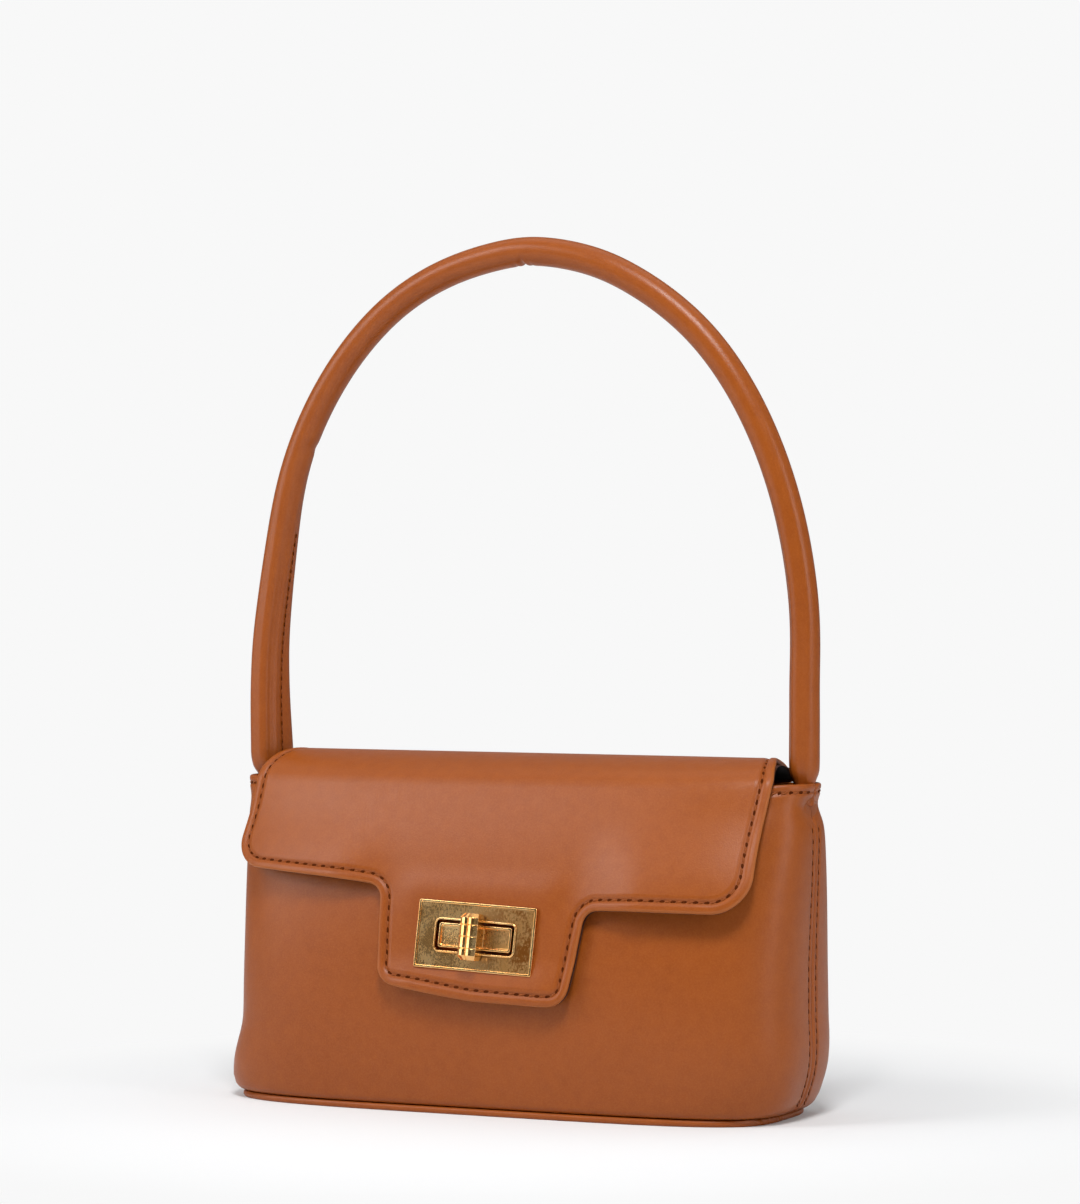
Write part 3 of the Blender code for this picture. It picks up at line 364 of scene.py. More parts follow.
def leather(name, edge=False, dullness=0.34):
    """Tan leather of a base roughness; where it carries edge numbers, its edge is lighter and duller."""
    finish, place = start_material(name, Specular_IOR_Level=0.32)
    tone = place.noise(9) * 0.5 + place.noise(240, 3.0) * 0.5
    speck = place.noise(1500, 2.0, 0.7).between(0.35, 0.75) * 0.30
    colour = speck.blend(tone.between(0.25, 0.75).blend(TAN_DEEP, TAN), TAN_EDGE)
    rough = place.noise(300) * 0.10 + dullness
    if edge:
        mask = place.number("edge")
        colour = (mask * 0.75).blend(colour, TAN_EDGE)
        rough = rough + mask * 0.12
    return finish(place.noise(1900, 3.0, 0.6), 0.00006, Base_Color=colour, Roughness=rough)


tan_leather = leather("tan_leather_finish")
tan_edged = leather("tan_leather_with_painted_edge", edge=True)
tan_rolled = leather("tan_leather_rolled", dullness=0.27)

# %% [markdown]
# The other finishes
#
# The lining is a plain black woven cloth, the stiffening is grey board, and the thread matches the leather
# and sinks into needle holes, whose shade is painted as dark lenses. The brass of the lock has been toned:
# darkened all over, then rubbed bright again along its rims, and a painted shade darkens it towards the
# right. Polish is a number on the brass points, so the rubbing follows the shape.


# %% Cloth, board, thread and cord
def woven_cloth():
    """Black cloth with crossed threads half a millimetre apart."""
    finish, place = start_material("black_lining_finish", Sheen_Weight=0.15)
    threads = [place.node("ShaderNodeTexWave", {"bands_direction": axis}, {"Vector": place, "Scale": 700}, 1)
               for axis in ("X", "Z", "Y")]
    height = threads[0] * 0.4 + threads[1] * 0.4 + threads[2] * 0.2 + place.noise(1200) * 0.4
    colour = height.between(0.2, 1.2).blend((0.006, 0.006, 0.007, 1), (0.020, 0.019, 0.020, 1))
    return finish(height, 0.00008, Base_Color=colour, Roughness=place.noise(60) * 0.15 + 0.72)


def plain(name, dark, light, rough, scale, step, **settings):
    """One noise in a material's colour, its roughness and its height."""
    finish, place = start_material(name, **settings)
    pattern = place.noise(scale, 4.0, 0.6)
    colour = pattern.between(0.3, 0.7).blend((*dark, 1), (*light, 1))
    return finish(pattern, step, Base_Color=colour, Roughness=pattern * 0.1 + rough)


black_cloth = woven_cloth()
grey_board = plain("grey_board_finish", (0.19, 0.175, 0.15), (0.27, 0.25, 0.22), 0.82, 700, 0.00006)
cord_fibre = plain("filler_cord_finish", (0.42, 0.35, 0.26), (0.60, 0.52, 0.40), 0.85, 900, 0.0001)
thread = plain("waxed_thread_finish", (0.20, 0.044, 0.006), (0.30, 0.075, 0.013), 0.50, 1500, 0.00005,
               Specular_IOR_Level=0.2)
# painted shade: the shade inside each needle hole, painted in this dark colour on flat lenses
painted_hole_shade = plain("needle_hole_finish", (0.060, 0.012, 0.003), (0.100, 0.022, 0.005), 0.85, 900, 0.00004,
                    Specular_IOR_Level=0.0)
edge_paint = plain("lining_edge_finish", (0.05, 0.014, 0.006), (0.09, 0.026, 0.010), 0.60, 800, 0.00004)
steel = plain("spring_steel_finish", (0.42, 0.43, 0.44), (0.60, 0.61, 0.62), 0.22, 600, 0.00001, Metallic=1.0)

# %% Brass
GOLD = ((0.95, 0.51, 0.17, 1), (1.00, 0.69, 0.32, 1))
# the dark colour of the tarnish mottles and of the painted shade towards the right
TARNISH_AND_SHADE = (0.185, 0.062, 0.010, 1)
STREAKS = (1300, 1300, 900)
# where along x the painted shade on the brass begins and where it is full
PAINTED_SHADE_REACH = (-0.010, 0.018)


def toned_and_shaded_brass(name, hammer):
    """Brass with dark tarnish mottles and a painted shade that darkens it towards the right, bright where the
    polish number is 1.
    """
    finish, place = start_material(name, Metallic=1.0)
    mottle = place.vector("MULTIPLY", STREAKS).noise(1.0, 4.0, 0.75)
    cloud = place.noise(90)
    dark = (mottle * 0.55 + cloud * 0.45).between(0.45, 0.55)
    # painted shade: the brass is darkened towards its right, in place of the darker reflection there
    painted_shade_drift = place.node("ShaderNodeSeparateXYZ", {}, {"Vector": place}).between(*PAINTED_SHADE_REACH)
    # tarnish mottles and painted shade together; polish takes both away
    tarnish_and_painted_shade = (1 - place.number("polish")) * (dark * 0.45 + painted_shade_drift * 0.55)
    colour = tarnish_and_painted_shade.blend(cloud.between(0.3, 0.7).blend(*GOLD), TARNISH_AND_SHADE)
    return finish(mottle, hammer, Base_Color=colour, Roughness=tarnish_and_painted_shade * 0.30 + mottle * 0.10 + 0.14)


brass = toned_and_shaded_brass("antique_brass_finish", 0.00003)
hammered_brass = toned_and_shaded_brass("antique_brass_hammered_finish", 0.00010)

# %% [markdown]
# The two panels
#
# Each panel is one sheet from side seam to side seam. At the top it is folded over and stitched 3 mm down;
# at the sides it is turned in and topstitched; at the bottom it rolls in to the base. All of that is relief
# on one formula: a distance by which the leather lies inside or outside the plain wall. The side seams'
# stitches stop 16 mm short of the top, where the fold of the hem stands open in a small notch.

# %% Sizes of the panels' relief
PANEL_THICKNESS = 0.0016
PANEL_LOW = 0.0027
PANEL_COLUMNS = 200
PANEL_CROWDING = 2.2
SEAM_DIP = 0.0007
SEAM_ROLL = 0.0009
SEAM_STITCH_IN = 0.0032
SIDE_STITCH_LOW = 0.0060
SIDE_STITCH_TOP = 0.1040
SIDE_STITCH_FADE = 0.003
STITCH_DIP = 0.00045
STITCH_TROUGH = 0.0007
HEM_STITCH_DROP = 0.0029
HEM_FOLD_RADIUS = 0.0009
HEM_FOLD_DROP = 0.0012
BOTTOM_ROLL_RADIUS = 0.0026
BOTTOM_ROLL_SHARE = 0.55
NOTCH_DIP = 0.0024
NOTCH_PLACE = (0.1115, 0.0042)  # height, half height
NOTCH_REACH = 0.0110
FLARE = 0.0011
FLARE_HEIGHTS = (0.112, 0.117)
FLARE_REACH = 0.0090
SLACK = 0.00022
SLACK_WAVES = ((41, 70, 0.0), (67, -48, 1.3))  # across, up, start
PANEL_RUNS = (9, 36, 40, 9)  # rows in the roll, the side, the notch with the stitches, and the fold
print("stitches lie", HEM_STITCH_DROP, "m below the hem and", SEAM_STITCH_IN, "m beside the seams")


# %% Relief of the panels
def quarter_roll(distance, radius):
    """How far a round edge of that radius falls back at a distance from its tip."""
    near = np.clip(1 - distance / radius, 0, 1)
    return radius * (1 - np.sqrt(1 - near ** 2))


def slack(x, z, front):
    """The slow unevenness of soft leather: two crossed sine waves, a fifth of a millimetre high."""
    shift = 0.0 if front else 2.0
    return SLACK * sum(np.sin(u * x + v * z + start + shift) for u, v, start in SLACK_WAVES) / 2


def seam_distance(turn, z, front):
    """A wall point's distance from the seams' plane: depth * |sin(turn)|^(2/n)."""
    return body_depth(z, front) * np.abs(np.sin(turn)) ** (2 / squareness(z))


def end_flare(near, z):
    """How far the hem's ends stand out above the notch, by the distance from the seam."""
    return FLARE * fade(z, *FLARE_HEIGHTS) * bump(near, 0, FLARE_REACH)


def panel_relief(turn, z, front):
    """How far inside the plain wall the outer leather lies, from the seams, stitches, folds and notch."""
    near = seam_distance(turn, z, front) + SEAM_HALF_GAP
    seam = SEAM_DIP * bump(near, 0, SEAM_ROLL)
    sewn = 1 - fade(z, SIDE_STITCH_TOP, SIDE_STITCH_TOP + SIDE_STITCH_FADE)
    trough = STITCH_DIP * bump(near, SEAM_STITCH_IN, STITCH_TROUGH) * sewn
    trough = trough + STITCH_DIP * bump(z, HEM_HEIGHT - HEM_STITCH_DROP, STITCH_TROUGH)
    edge = quarter_roll(HEM_HEIGHT - z, HEM_FOLD_RADIUS)
    edge = edge + BOTTOM_ROLL_SHARE * quarter_roll(z - PANEL_LOW, BOTTOM_ROLL_RADIUS)
    notch = NOTCH_DIP * bump(z, *NOTCH_PLACE) * bump(near, 0, NOTCH_REACH)
    waves = slack(half_width(z) * np.cos(turn), z, front)
    return seam + trough + edge + notch - end_flare(near, z) + waves


def column_turns(count, power):
    """Angles from seam to seam, crowded at the seams: pi/2 * s^p / (s^p + (1 - s)^p) for each half."""
    share = np.linspace(0, 1, count // 2 + 1)
    half = math.pi / 2 * share ** power / (share ** power + (1 - share) ** power)
    return np.concatenate([half, (math.pi - half)[-2::-1]])


def panel_rows():
    """Heights of the panel's rows: close together at the roll, the notch, the stitches and the fold."""
    stops = (PANEL_LOW, PANEL_LOW + BOTTOM_ROLL_RADIUS, SIDE_STITCH_TOP,
             HEM_HEIGHT - HEM_FOLD_DROP, HEM_HEIGHT)
    runs = zip(stops[:-1], stops[1:], PANEL_RUNS)
    return np.unique(np.concatenate([np.linspace(*run) for run in runs]))


print("rows of a panel:", len(panel_rows()))

# %% Make the panels
SIDES = (("front", True), ("back", False))


def make_sheet(name, outer, inner, material, slot, node):
    """A closed sheet between two grids, which rides with the bag."""
    points = np.concatenate([outer.reshape(-1, 3), inner.reshape(-1, 3)])
    piece = make_piece(name, points, [sheet_faces(*outer.shape[:2])], [material])
    dress(piece, slot, [node], "bag")


for word, front in SIDES:
    turns, rows = np.meshgrid(column_turns(PANEL_COLUMNS, PANEL_CROWDING), panel_rows())
    inward = PANEL_THICKNESS - quarter_roll(HEM_HEIGHT - rows, PANEL_THICKNESS / 2)
    inward = inward - end_flare(seam_distance(turns, rows, front), rows)
    make_sheet(f"body_{word}_leather", wall_point(turns, rows, front, panel_relief(turns, rows, front)),
               wall_point(turns, rows, front, inward), tan_leather, "tan_leather", word + "_panel")

# %% [markdown]
# The base
#
# The bag stands on a separate oblong of leather whose edge shows as a thin rim under the body. A rounded
# slab is a stack of outlines, each a little inside the next. Where the rim turns the front right corner it
# was eased in with small gathers, so a few ripples run round it there, and fewer on the left.

# %% Make the base
WELD = 0.00001
BASE_THICKNESS = 0.0024
BASE_WELT = 0.0006
BASE_EDGE = 0.0009
BASE_COLUMNS = 280
BASE_CROWDING = 1.9
BASE_STEPS = (0.014, 0.004)
GATHER_HEIGHT = 0.00045
GATHER_WAVE = 0.0021
GATHER_PLACES = ((0.104, 0.011, 1.0), (-0.106, 0.010, 0.35))  # middle, width, strength
GATHER_DEPTHS = (0.004, 0.012)


def base_outline(inset, z):
    """The closed plan curve at the base, at an inset: the front's turns, then the back's reversed."""
    turns = column_turns(BASE_COLUMNS, BASE_CROWDING)
    loop = np.concatenate([wall_point(turns, 0 * turns, True, inset),
                           wall_point(turns[::-1], 0 * turns, False, inset)])
    loop[:, 2] = z
    return loop


def gathers(x, y):
    """Ripples round the base's front corners, strong at the right and slight at the left."""
    strength = sum(share * bump(x, middle, width) for middle, width, share in GATHER_PLACES)
    return GATHER_HEIGHT * strength * fade(-y, *GATHER_DEPTHS) * np.sin(2 * math.pi * (x - y) / GATHER_WAVE)


def make_slab(name, rings, material, slot, node):
    """A slab through stacked outlines, closed below and above."""
    piece = make_piece(name, rings, capped(*rings.shape[:2]), [material], WELD)
    dress(piece, slot, [node], "bag")


roll = np.radians(np.linspace(-90, 90, 11))
profile = [(inset, 0.0) for inset in BASE_STEPS]
profile += zip(BASE_EDGE * (1 - np.cos(roll)) - BASE_WELT, BASE_THICKNESS / 2 * (1 + np.sin(roll)))
profile += [(inset, BASE_THICKNESS) for inset in BASE_STEPS[::-1]]
rings = np.stack([base_outline(inset, z) for inset, z in profile])
ripple = gathers(rings[..., 0], rings[..., 1]) * np.sin(np.linspace(0, math.pi, len(profile)))[:, None] ** 2
make_slab("base_leather", rings + unit(rings * (1, 1, 0)) * ripple[..., None], tan_leather, "tan_leather",
          "base_panel")

# %% [markdown]
# Inside the bag
#
# Behind the hem lies a leather facing, and below it the black lining hangs down to a lined base. They are
# the same wall again at other distances, which is why the wall is a function of its offset.

# %% Make the facings and the lining
INNER_COLUMNS = 110
FACING_LAYER = (PANEL_THICKNESS + 0.0005, 0.0020)  # depth, thickness
FACING_HEIGHTS = (HEM_HEIGHT - 0.0180, HEM_HEIGHT - 0.0002)
LINING_LAYER = (0.0047, 0.0006)
LINING_HEIGHTS = (0.0054, 0.1060)
LINING_BASE_INSETS = (0.0043, 0.0040, 0.0043)


def make_inner_wall(name, front, layer, heights, material, slot, node):
    """A plain sheet of the wall between two offsets and two heights, its top edge rounded."""
    start, thickness = layer
    low, high = heights
    near_top = high - thickness / 2 * (1 - np.cos(np.linspace(math.pi / 2, 0, 6)))
    levels = np.unique(np.concatenate([np.linspace(low, high - thickness, 30), near_top]))
    turns, rows = np.meshgrid(column_turns(INNER_COLUMNS, BASE_CROWDING), levels)
    rolled_in = quarter_roll(high - rows, thickness / 2)
    make_sheet(name, wall_point(turns, rows, front, start + rolled_in),
               wall_point(turns, rows, front, start + thickness - rolled_in), material, slot, node)


for word, front in SIDES:
    make_inner_wall(f"hem_facing_{word}_leather", front, FACING_LAYER, FACING_HEIGHTS, tan_leather,
                    "tan_leather", "hem_facing_" + word)
for word, front in SIDES:
    make_inner_wall(f"lining_{word}_cloth", front, LINING_LAYER, LINING_HEIGHTS, black_cloth,
                    "black_lining", "lining_" + word)
low, high = (corner.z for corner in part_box("lining_base"))
levels = zip(LINING_BASE_INSETS, (low, (low + high) / 2, high))
make_slab("lining_base_cloth", np.stack([base_outline(inset, z) for inset, z in levels]), black_cloth,
          "black_lining", "lining_base")

# %% [markdown]
# The flap
#
# The flap is sewn to the back below the hem, rises over the mouth in a low arch and falls down the front as
# two wings and a tab. Its shape is a function of x across the bag and s along the leather from the fold at
# the back, so any sheet of it is that surface moved outwards by a distance d. The lock's plate needs a flat
# seat, so the curve is ironed flat behind it. The whole front hangs askew by 2.6 degrees, as it was sewn,
# and its lower edges stand a few millimetres off the body.

# %% Sizes of the flap's surface and the lock's place
FLAP_WIDTH = 0.2108
FLAP_GAP = 0.0010
FLAP_BACK_GAP = 0.0006
FLAP_RISE = 0.0080
FLAP_TILT = 0.0007
ARCH_LENGTH = 0.0480
ARCH_PULL = 0.0260
STEP = 0.0001
SKEW = math.radians(2.6)
PLATE_WIDTH = 0.0480
PLATE_HEIGHT = 0.0248
SEAT_MARGINS = (0.002, 0.012)
WING_DROP = 0.0422
TAB_DROP = 0.0768
TAB_TOP_WIDTH = 0.0840
WING_LIFT = 0.0046
WING_LIFT_START = 0.008
TAB_LIFT = 0.0022
TAB_LIFT_START = 0.060
LIFT_MARGINS = (-0.006, 0.022)
WING_REACH = (0.045, 0.085)
WING_SHIFT = 0.0012
WING_SHIFT_REACH = (0.046, 0.075)
RIGHT_SLANT = 0.0028
RIGHT_SLANT_REACH = (0.045, 0.095)
RIGHT_SLANT_START = 0.044
RIGHT_SLANT_RUN = 0.040
BACK_NARROWING = 0.0041
BACK_NARROWING_REACH = (0.020, 0.046)

joints = {joint["name"]: joint for joint in frame["joints"]}
HINGE_Z = joints["flap_open"]["pos_m"][2]
LOCK_PLACE = np.array(joints["knob_turn"]["pos_m"])
LOCK_OUT = unit(np.array(joints["knob_turn"]["axis"]))
LOCK_RISE = np.array([0.0, LOCK_OUT[2], -LOCK_OUT[1]])
LOCK_RIGHT = np.array([math.cos(SKEW), 0.0, 0.0]) - LOCK_RISE * math.sin(SKEW)
LOCK_UP = LOCK_RISE * math.cos(SKEW) + np.array([math.sin(SKEW), 0.0, 0.0])
LOCK_S = ARCH_LENGTH + HEM_HEIGHT - LOCK_PLACE[2]
print("lock at", LOCK_PLACE, "facing", LOCK_OUT)


# %% The flap's surface
def flap_front(x, z):
    """The inner face's y on the front: the wall plus a gap, faded into the lock's plane round the plate."""
    y = -(wall_y(x, z, True) + SEAM_HALF_GAP + FLAP_GAP)
    plane = LOCK_PLACE[1] + (FLAP_GAP - LOCK_OUT[2] * (z - LOCK_PLACE[2])) / LOCK_OUT[1]
    beyond = np.abs(x) - PLATE_WIDTH / 2, np.abs(z - LOCK_PLACE[2]) - PLATE_HEIGHT / 2
    return y + (plane - y) * (1 - fade(beyond[0], *SEAT_MARGINS)) * (1 - fade(beyond[1], *SEAT_MARGINS))


def flap_arch(x, share):
    """The inner face's y and z over the top: a cubic from the back hem, upwards, to the front, downwards."""
    start = wall_y(x, HEM_HEIGHT, False) + FLAP_BACK_GAP
    end = flap_front(x, HEM_HEIGHT)
    slope = flap_front(x, HEM_HEIGHT - STEP) - end
    pull = ARCH_PULL * np.minimum(1, (start - end) / (BACK_DEPTHS[2] + FRONT_DEPTHS[2]))
    arrive_y = pull * slope / np.hypot(slope, STEP)
    arrive_z = -pull * STEP / np.hypot(slope, STEP)
    s2, s3 = share ** 2, share ** 3
    first, last = 2 * s3 - 3 * s2 + 1, 3 * s2 - 2 * s3
    y = start * first + end * last + arrive_y * (s3 - s2)
    z = HINGE_Z * first + HEM_HEIGHT * last + pull * (s3 - 2 * s2 + share) + arrive_z * (s3 - s2)
    lift = HEM_HEIGHT + FLAP_RISE - (HINGE_Z + HEM_HEIGHT) / 2 - (pull - arrive_z) / 8
    return y, z + (lift - FLAP_TILT * x / (FLAP_WIDTH / 2)) * 16 * s2 * (1 - share) ** 2


def flap_inner(x, s):
    """The inner face at x and s: down the back where s is negative, over the arch, then down the front."""
    arch_y, arch_z = flap_arch(x, np.clip(s / ARCH_LENGTH, 0, 1))
    front_z = HEM_HEIGHT - np.clip(s - ARCH_LENGTH, 0, None)
    back_z = HINGE_Z + np.minimum(s, 0)
    back_y = wall_y(x, np.minimum(back_z, HEM_HEIGHT), False) + FLAP_BACK_GAP
    y = np.where(s < 0, back_y, np.where(s > ARCH_LENGTH, flap_front(x, front_z), arch_y))
    z = np.where(s < 0, back_z, np.where(s > ARCH_LENGTH, front_z, arch_z))
    return np.stack([x + 0 * s, y, z], -1)


def flap_lift(x, s):
    """How far the wings and the tab stand off the body at their lower edges."""
    wings = WING_LIFT * fade(s, ARCH_LENGTH + WING_LIFT_START, ARCH_LENGTH + WING_DROP)
    tab = TAB_LIFT * fade(s, ARCH_LENGTH + TAB_LIFT_START, ARCH_LENGTH + TAB_DROP)
    beside = fade(np.abs(x) - TAB_TOP_WIDTH / 2, *LIFT_MARGINS)
    return wings * beside + tab * (1 - beside)


def flap_place(x, s, d):
    """The point at a distance d outside the inner face, along the cross product of its two tangents."""
    along = flap_inner(x, s + STEP) - flap_inner(x, s - STEP)
    across = flap_inner(x + STEP, s) - flap_inner(x - STEP, s)
    normal = unit(np.cross(along, across))
    return flap_inner(x, s) + normal * (d + flap_lift(x, s))[..., None]


def skewed(x, s):
    """Turn the front about the lock, slant its right edge, draw the wings left and narrow the back."""
    share = fade(s, ARCH_LENGTH, ARCH_LENGTH + WING_DROP)
    beside = fade(np.abs(x), *WING_REACH)
    down = np.clip((s - RIGHT_SLANT_START) / RIGHT_SLANT_RUN, 0, 1)
    shift = math.tan(SKEW) * (LOCK_S - s) * share * (1 - beside)
    shift = shift - WING_SHIFT * beside * fade(s, *WING_SHIFT_REACH)
    shift = shift - RIGHT_SLANT * fade(x, *RIGHT_SLANT_REACH) * down
    narrow = BACK_NARROWING * (1 - fade(s, *BACK_NARROWING_REACH))
    return x * (1 - 2 * narrow / FLAP_WIDTH) + shift, s + math.tan(SKEW) * x * share


print("crest of the flap's inner face:", np.round(flap_inner(0.0, ARCH_LENGTH / 2), 4))

# %% [markdown]
# Rounded outlines and their borders
#
# The flap's outline has straight runs and round corners. An arc that touches both sides of a corner replaces
# it, then the whole outline is walked at an even step. Offset inwards again and again it gives a border of
# fine rings, which carry the round edge and the stitched trough; the plain middle is filled with triangles.


# %% Outline tools
def lengths_along(line):
    """The length from a line's start to each of its points."""
    return np.concatenate([[0], np.cumsum(np.linalg.norm(np.diff(line, axis=0), axis=1))])


def rounded(corners, step):
    """A closed outline through (x, y, radius) corners, its corners cut by arcs, walked at an even step."""
    walked = []
    for before, here, after in zip(corners[-1:] + corners[:-1], corners, corners[1:] + corners[:1]):
        point = np.array(here[:2])
        back, ahead = unit(np.array(before[:2]) - point), unit(np.array(after[:2]) - point)
        half = math.acos(float(np.clip(back @ ahead, -1, 1))) / 2
        centre = point + unit(back + ahead) * here[2] / math.sin(half)
        first = point + back * here[2] / math.tan(half) - centre
        last = point + ahead * here[2] / math.tan(half) - centre
        turn = np.linspace(0, (math.pi - 2 * half) * np.sign(first[0] * last[1] - first[1] * last[0]), 24)
        walked.append(centre + np.outer(np.cos(turn), first) + np.outer(np.sin(turn), (-first[1], first[0])))
    line = np.concatenate(walked)
    line = np.vstack([line, line[:1]])
    length = lengths_along(line)
    even = np.linspace(0, length[-1], max(8, round(length[-1] / step)) + 1)[:-1]
    return np.stack([np.interp(even, length, line[:, 0]), np.interp(even, length, line[:, 1])], -1)


def inset(outline, distance):
    """The outline moved inwards: each point goes along the left-hand normal of its neighbours' chord."""
    chord = unit(np.roll(outline, -1, 0) - np.roll(outline, 1, 0))
    return outline + distance * np.stack([-chord[:, 1], chord[:, 0]], -1)


# %% Filling an outline
def inside(points, outline):
    """Which points lie inside a closed outline: those whose ray crosses it an odd number of times."""
    x, y = points[:, None, 0], points[:, None, 1]
    x0, y0 = outline[None, :, 0], outline[None, :, 1]
    x1, y1 = np.roll(x0, -1), np.roll(y0, -1)
    crossing = (y0 > y) != (y1 > y)
    reach = x0 + (x1 - x0) * (y - y0) / np.where(y1 == y0, 1, y1 - y0)
    return (crossing & (x < reach)).sum(1) % 2 == 1


def fill_flat(outline, hole, cell):
    """Triangles inside an outline and outside a hole, through a grid of points of one cell size."""
    low, high = outline.min(0), outline.max(0)
    columns, rows = np.arange(low[0], high[0], cell), np.arange(low[1], high[1], cell)
    grid = np.stack(np.meshgrid(columns, rows), -1).reshape(-1, 2)
    grid = grid[inside(grid, outline) & ~inside(grid, hole)]
    loops = np.concatenate([outline, hole])
    grid = grid[np.linalg.norm(grid[:, None] - loops[None], axis=2).min(1) > cell * 0.45]
    edges = [(start + k, start + (k + 1) % len(loop))
             for loop, start in ((outline, 0), (hole, len(outline))) for k in range(len(loop))]
    points = [Vector(p) for p in np.concatenate([loops, grid])]
    flat, _, faces, _, _, _ = delaunay_2d_cdt(points, edges, [], 1, 1e-7)
    flat, faces = np.array([tuple(p) for p in flat]), np.array([tuple(face) for face in faces])
    return flat, faces[~inside(flat[faces].mean(1), hole)]


# %% The flap's outline and window
WING_OUTER_DROPS = (0.0370, 0.0400)  # left, right
WING_INNER_DROPS = (0.0392, WING_DROP)
WING_CORNER_RADIUS = 0.0130
TAB_BOTTOM_WIDTH = 0.0785
TAB_FILLET_RADIUS = 0.0055
TAB_CORNER_RADIUS = 0.0078
TAB_CORNER_DROPS = (0.0738, 0.0764)
TAB_RIGHT_DRAW = 0.0016
STRIP_HEIGHT = 0.0220
STRIP_CORNER_RADIUS = 0.0080
OUTLINE_STEP = 0.0011
WINDOW_STEP = 0.001
WINDOW_WIDTH = 0.0318
WINDOW_HEIGHT = 0.0112
WINDOW_RADIUS = 0.0016
COLLAR_WALL = 0.0007
WINDOW_ROOM = 0.0003


def flap_outline(top, top_radius):
    """The flap's outline in x and s, anticlockwise, from a line across its back round the wings and tab."""
    drops = zip((-1, 1), WING_OUTER_DROPS, WING_INNER_DROPS, TAB_CORNER_DROPS)
    left, right = [[(side * FLAP_WIDTH / 2, top, top_radius),
                    (side * FLAP_WIDTH / 2, ARCH_LENGTH + outer, WING_CORNER_RADIUS),
                    (side * TAB_TOP_WIDTH / 2, ARCH_LENGTH + inner, TAB_FILLET_RADIUS),
                    (side * TAB_BOTTOM_WIDTH / 2 - max(side, 0) * TAB_RIGHT_DRAW, ARCH_LENGTH + corner,
                     TAB_CORNER_RADIUS)] for side, outer, inner, corner in drops]
    middle = [(0.0, ARCH_LENGTH + TAB_DROP, TAB_BOTTOM_WIDTH)]
    return rounded(right + middle + left[::-1], OUTLINE_STEP)


def window_hole(grow):
    """The lock's window in x and s, turned with the lock."""
    u, v, radius = WINDOW_WIDTH / 2 + grow, WINDOW_HEIGHT / 2 + grow, WINDOW_RADIUS + grow
    loop = rounded([(-u, -v, radius), (u, -v, radius), (u, v, radius), (-u, v, radius)], WINDOW_STEP)
    x = loop[:, 0] * math.cos(SKEW) + loop[:, 1] * math.sin(SKEW)
    up = loop[:, 1] * math.cos(SKEW) - loop[:, 0] * math.sin(SKEW)
    return np.stack([x, LOCK_S - up * abs(LOCK_OUT[1])], -1)


leather_outline = flap_outline(-STRIP_HEIGHT, STRIP_CORNER_RADIUS)
window = window_hole(COLLAR_WALL + WINDOW_ROOM)
print("points round the flap:", len(leather_outline), "and round its window:", len(window))

# %% [markdown]
# Leather with a turned edge
#
# The flap's leather is pared thin at its border, turned over and stitched, so its edge is round and the
# seam sinks into a trough 4 mm inside it. The cross-section of the border is a list of places, each a
# distance in from the edge and a height. The leather is sewn to the back and lifts with the flap; here it
# is left where it lies and hung on neither body.

# %% The cross-section of the flap's leather
BORDER = 0.0058
CROWN = 0.00016
FLAP_STITCH_IN = 0.0037
FLAP_STITCH_DIP = 0.00070
FLAP_TROUGH = 0.0008
TROUGH_STEPS = (0.0011, 0.0008, 0.0005, 0.0003, 0, -0.0003, -0.0005, -0.0008, -0.0013)
CROWN_STEPS = (0.0019, 0.0013)
UNDER_STEPS = (0.002, 0.004, BORDER)
FLAP_EDGE_RADIUS = 0.0010
FLAP_LEVELS = (0.0009, 0.0029)  # underside, top
STRIP_LEVELS = (0.0001, 0.0020)
LEVEL_REACHES = ((-0.001, 0.001), (-0.002, 0.007))
LEATHER_BACK_DRAW = 0.0034
LEATHER_BACK_REACH = (0.014, 0.032)


def border_height(distance):
    """The border's relief: a slight crown outside the stitches, the trough itself, then a soft rise."""
    crown = CROWN * np.sin(math.pi * np.clip(distance / FLAP_STITCH_IN, 0, 1))
    return crown - FLAP_STITCH_DIP * bump(distance, FLAP_STITCH_IN, FLAP_TROUGH)


def leather_profile():
    """Distances in from the edge, shares from underside to top, and relief, round the whole border."""
    flat = np.array([BORDER, *(FLAP_STITCH_IN + np.array(TROUGH_STEPS)), *CROWN_STEPS])
    turns = np.radians(np.linspace(90, -90, 13))
    edge = FLAP_EDGE_RADIUS * (1 - np.cos(turns))
    under = np.zeros(len(UNDER_STEPS))
    shares = np.concatenate([1 + 0 * flat, (1 + np.sin(turns)) / 2, under])
    relief = np.concatenate([border_height(flat), border_height(edge) * (turns > 0), under])
    return np.concatenate([flat, edge, UNDER_STEPS]), shares, relief


def leather_point(flat, share, relief):
    """The leather at a place of its plan, a share of the way from its underside to its top."""
    x, s = skewed(flat[..., 0], flat[..., 1])
    x = x * (1 - 2 * LEATHER_BACK_DRAW / FLAP_WIDTH * (1 - fade(s, *LEATHER_BACK_REACH)))
    low, high = [strip + (flap - strip) * fade(s, *reach)
                 for strip, flap, reach in zip(STRIP_LEVELS, FLAP_LEVELS, LEVEL_REACHES)]
    return flap_place(x, s, low + (high - low) * share + relief)


print("rings in the leather's border:", len(leather_profile()[0]))

# %% A sheet with a border
EDGE_FADE = (0.0003, 0.0012)


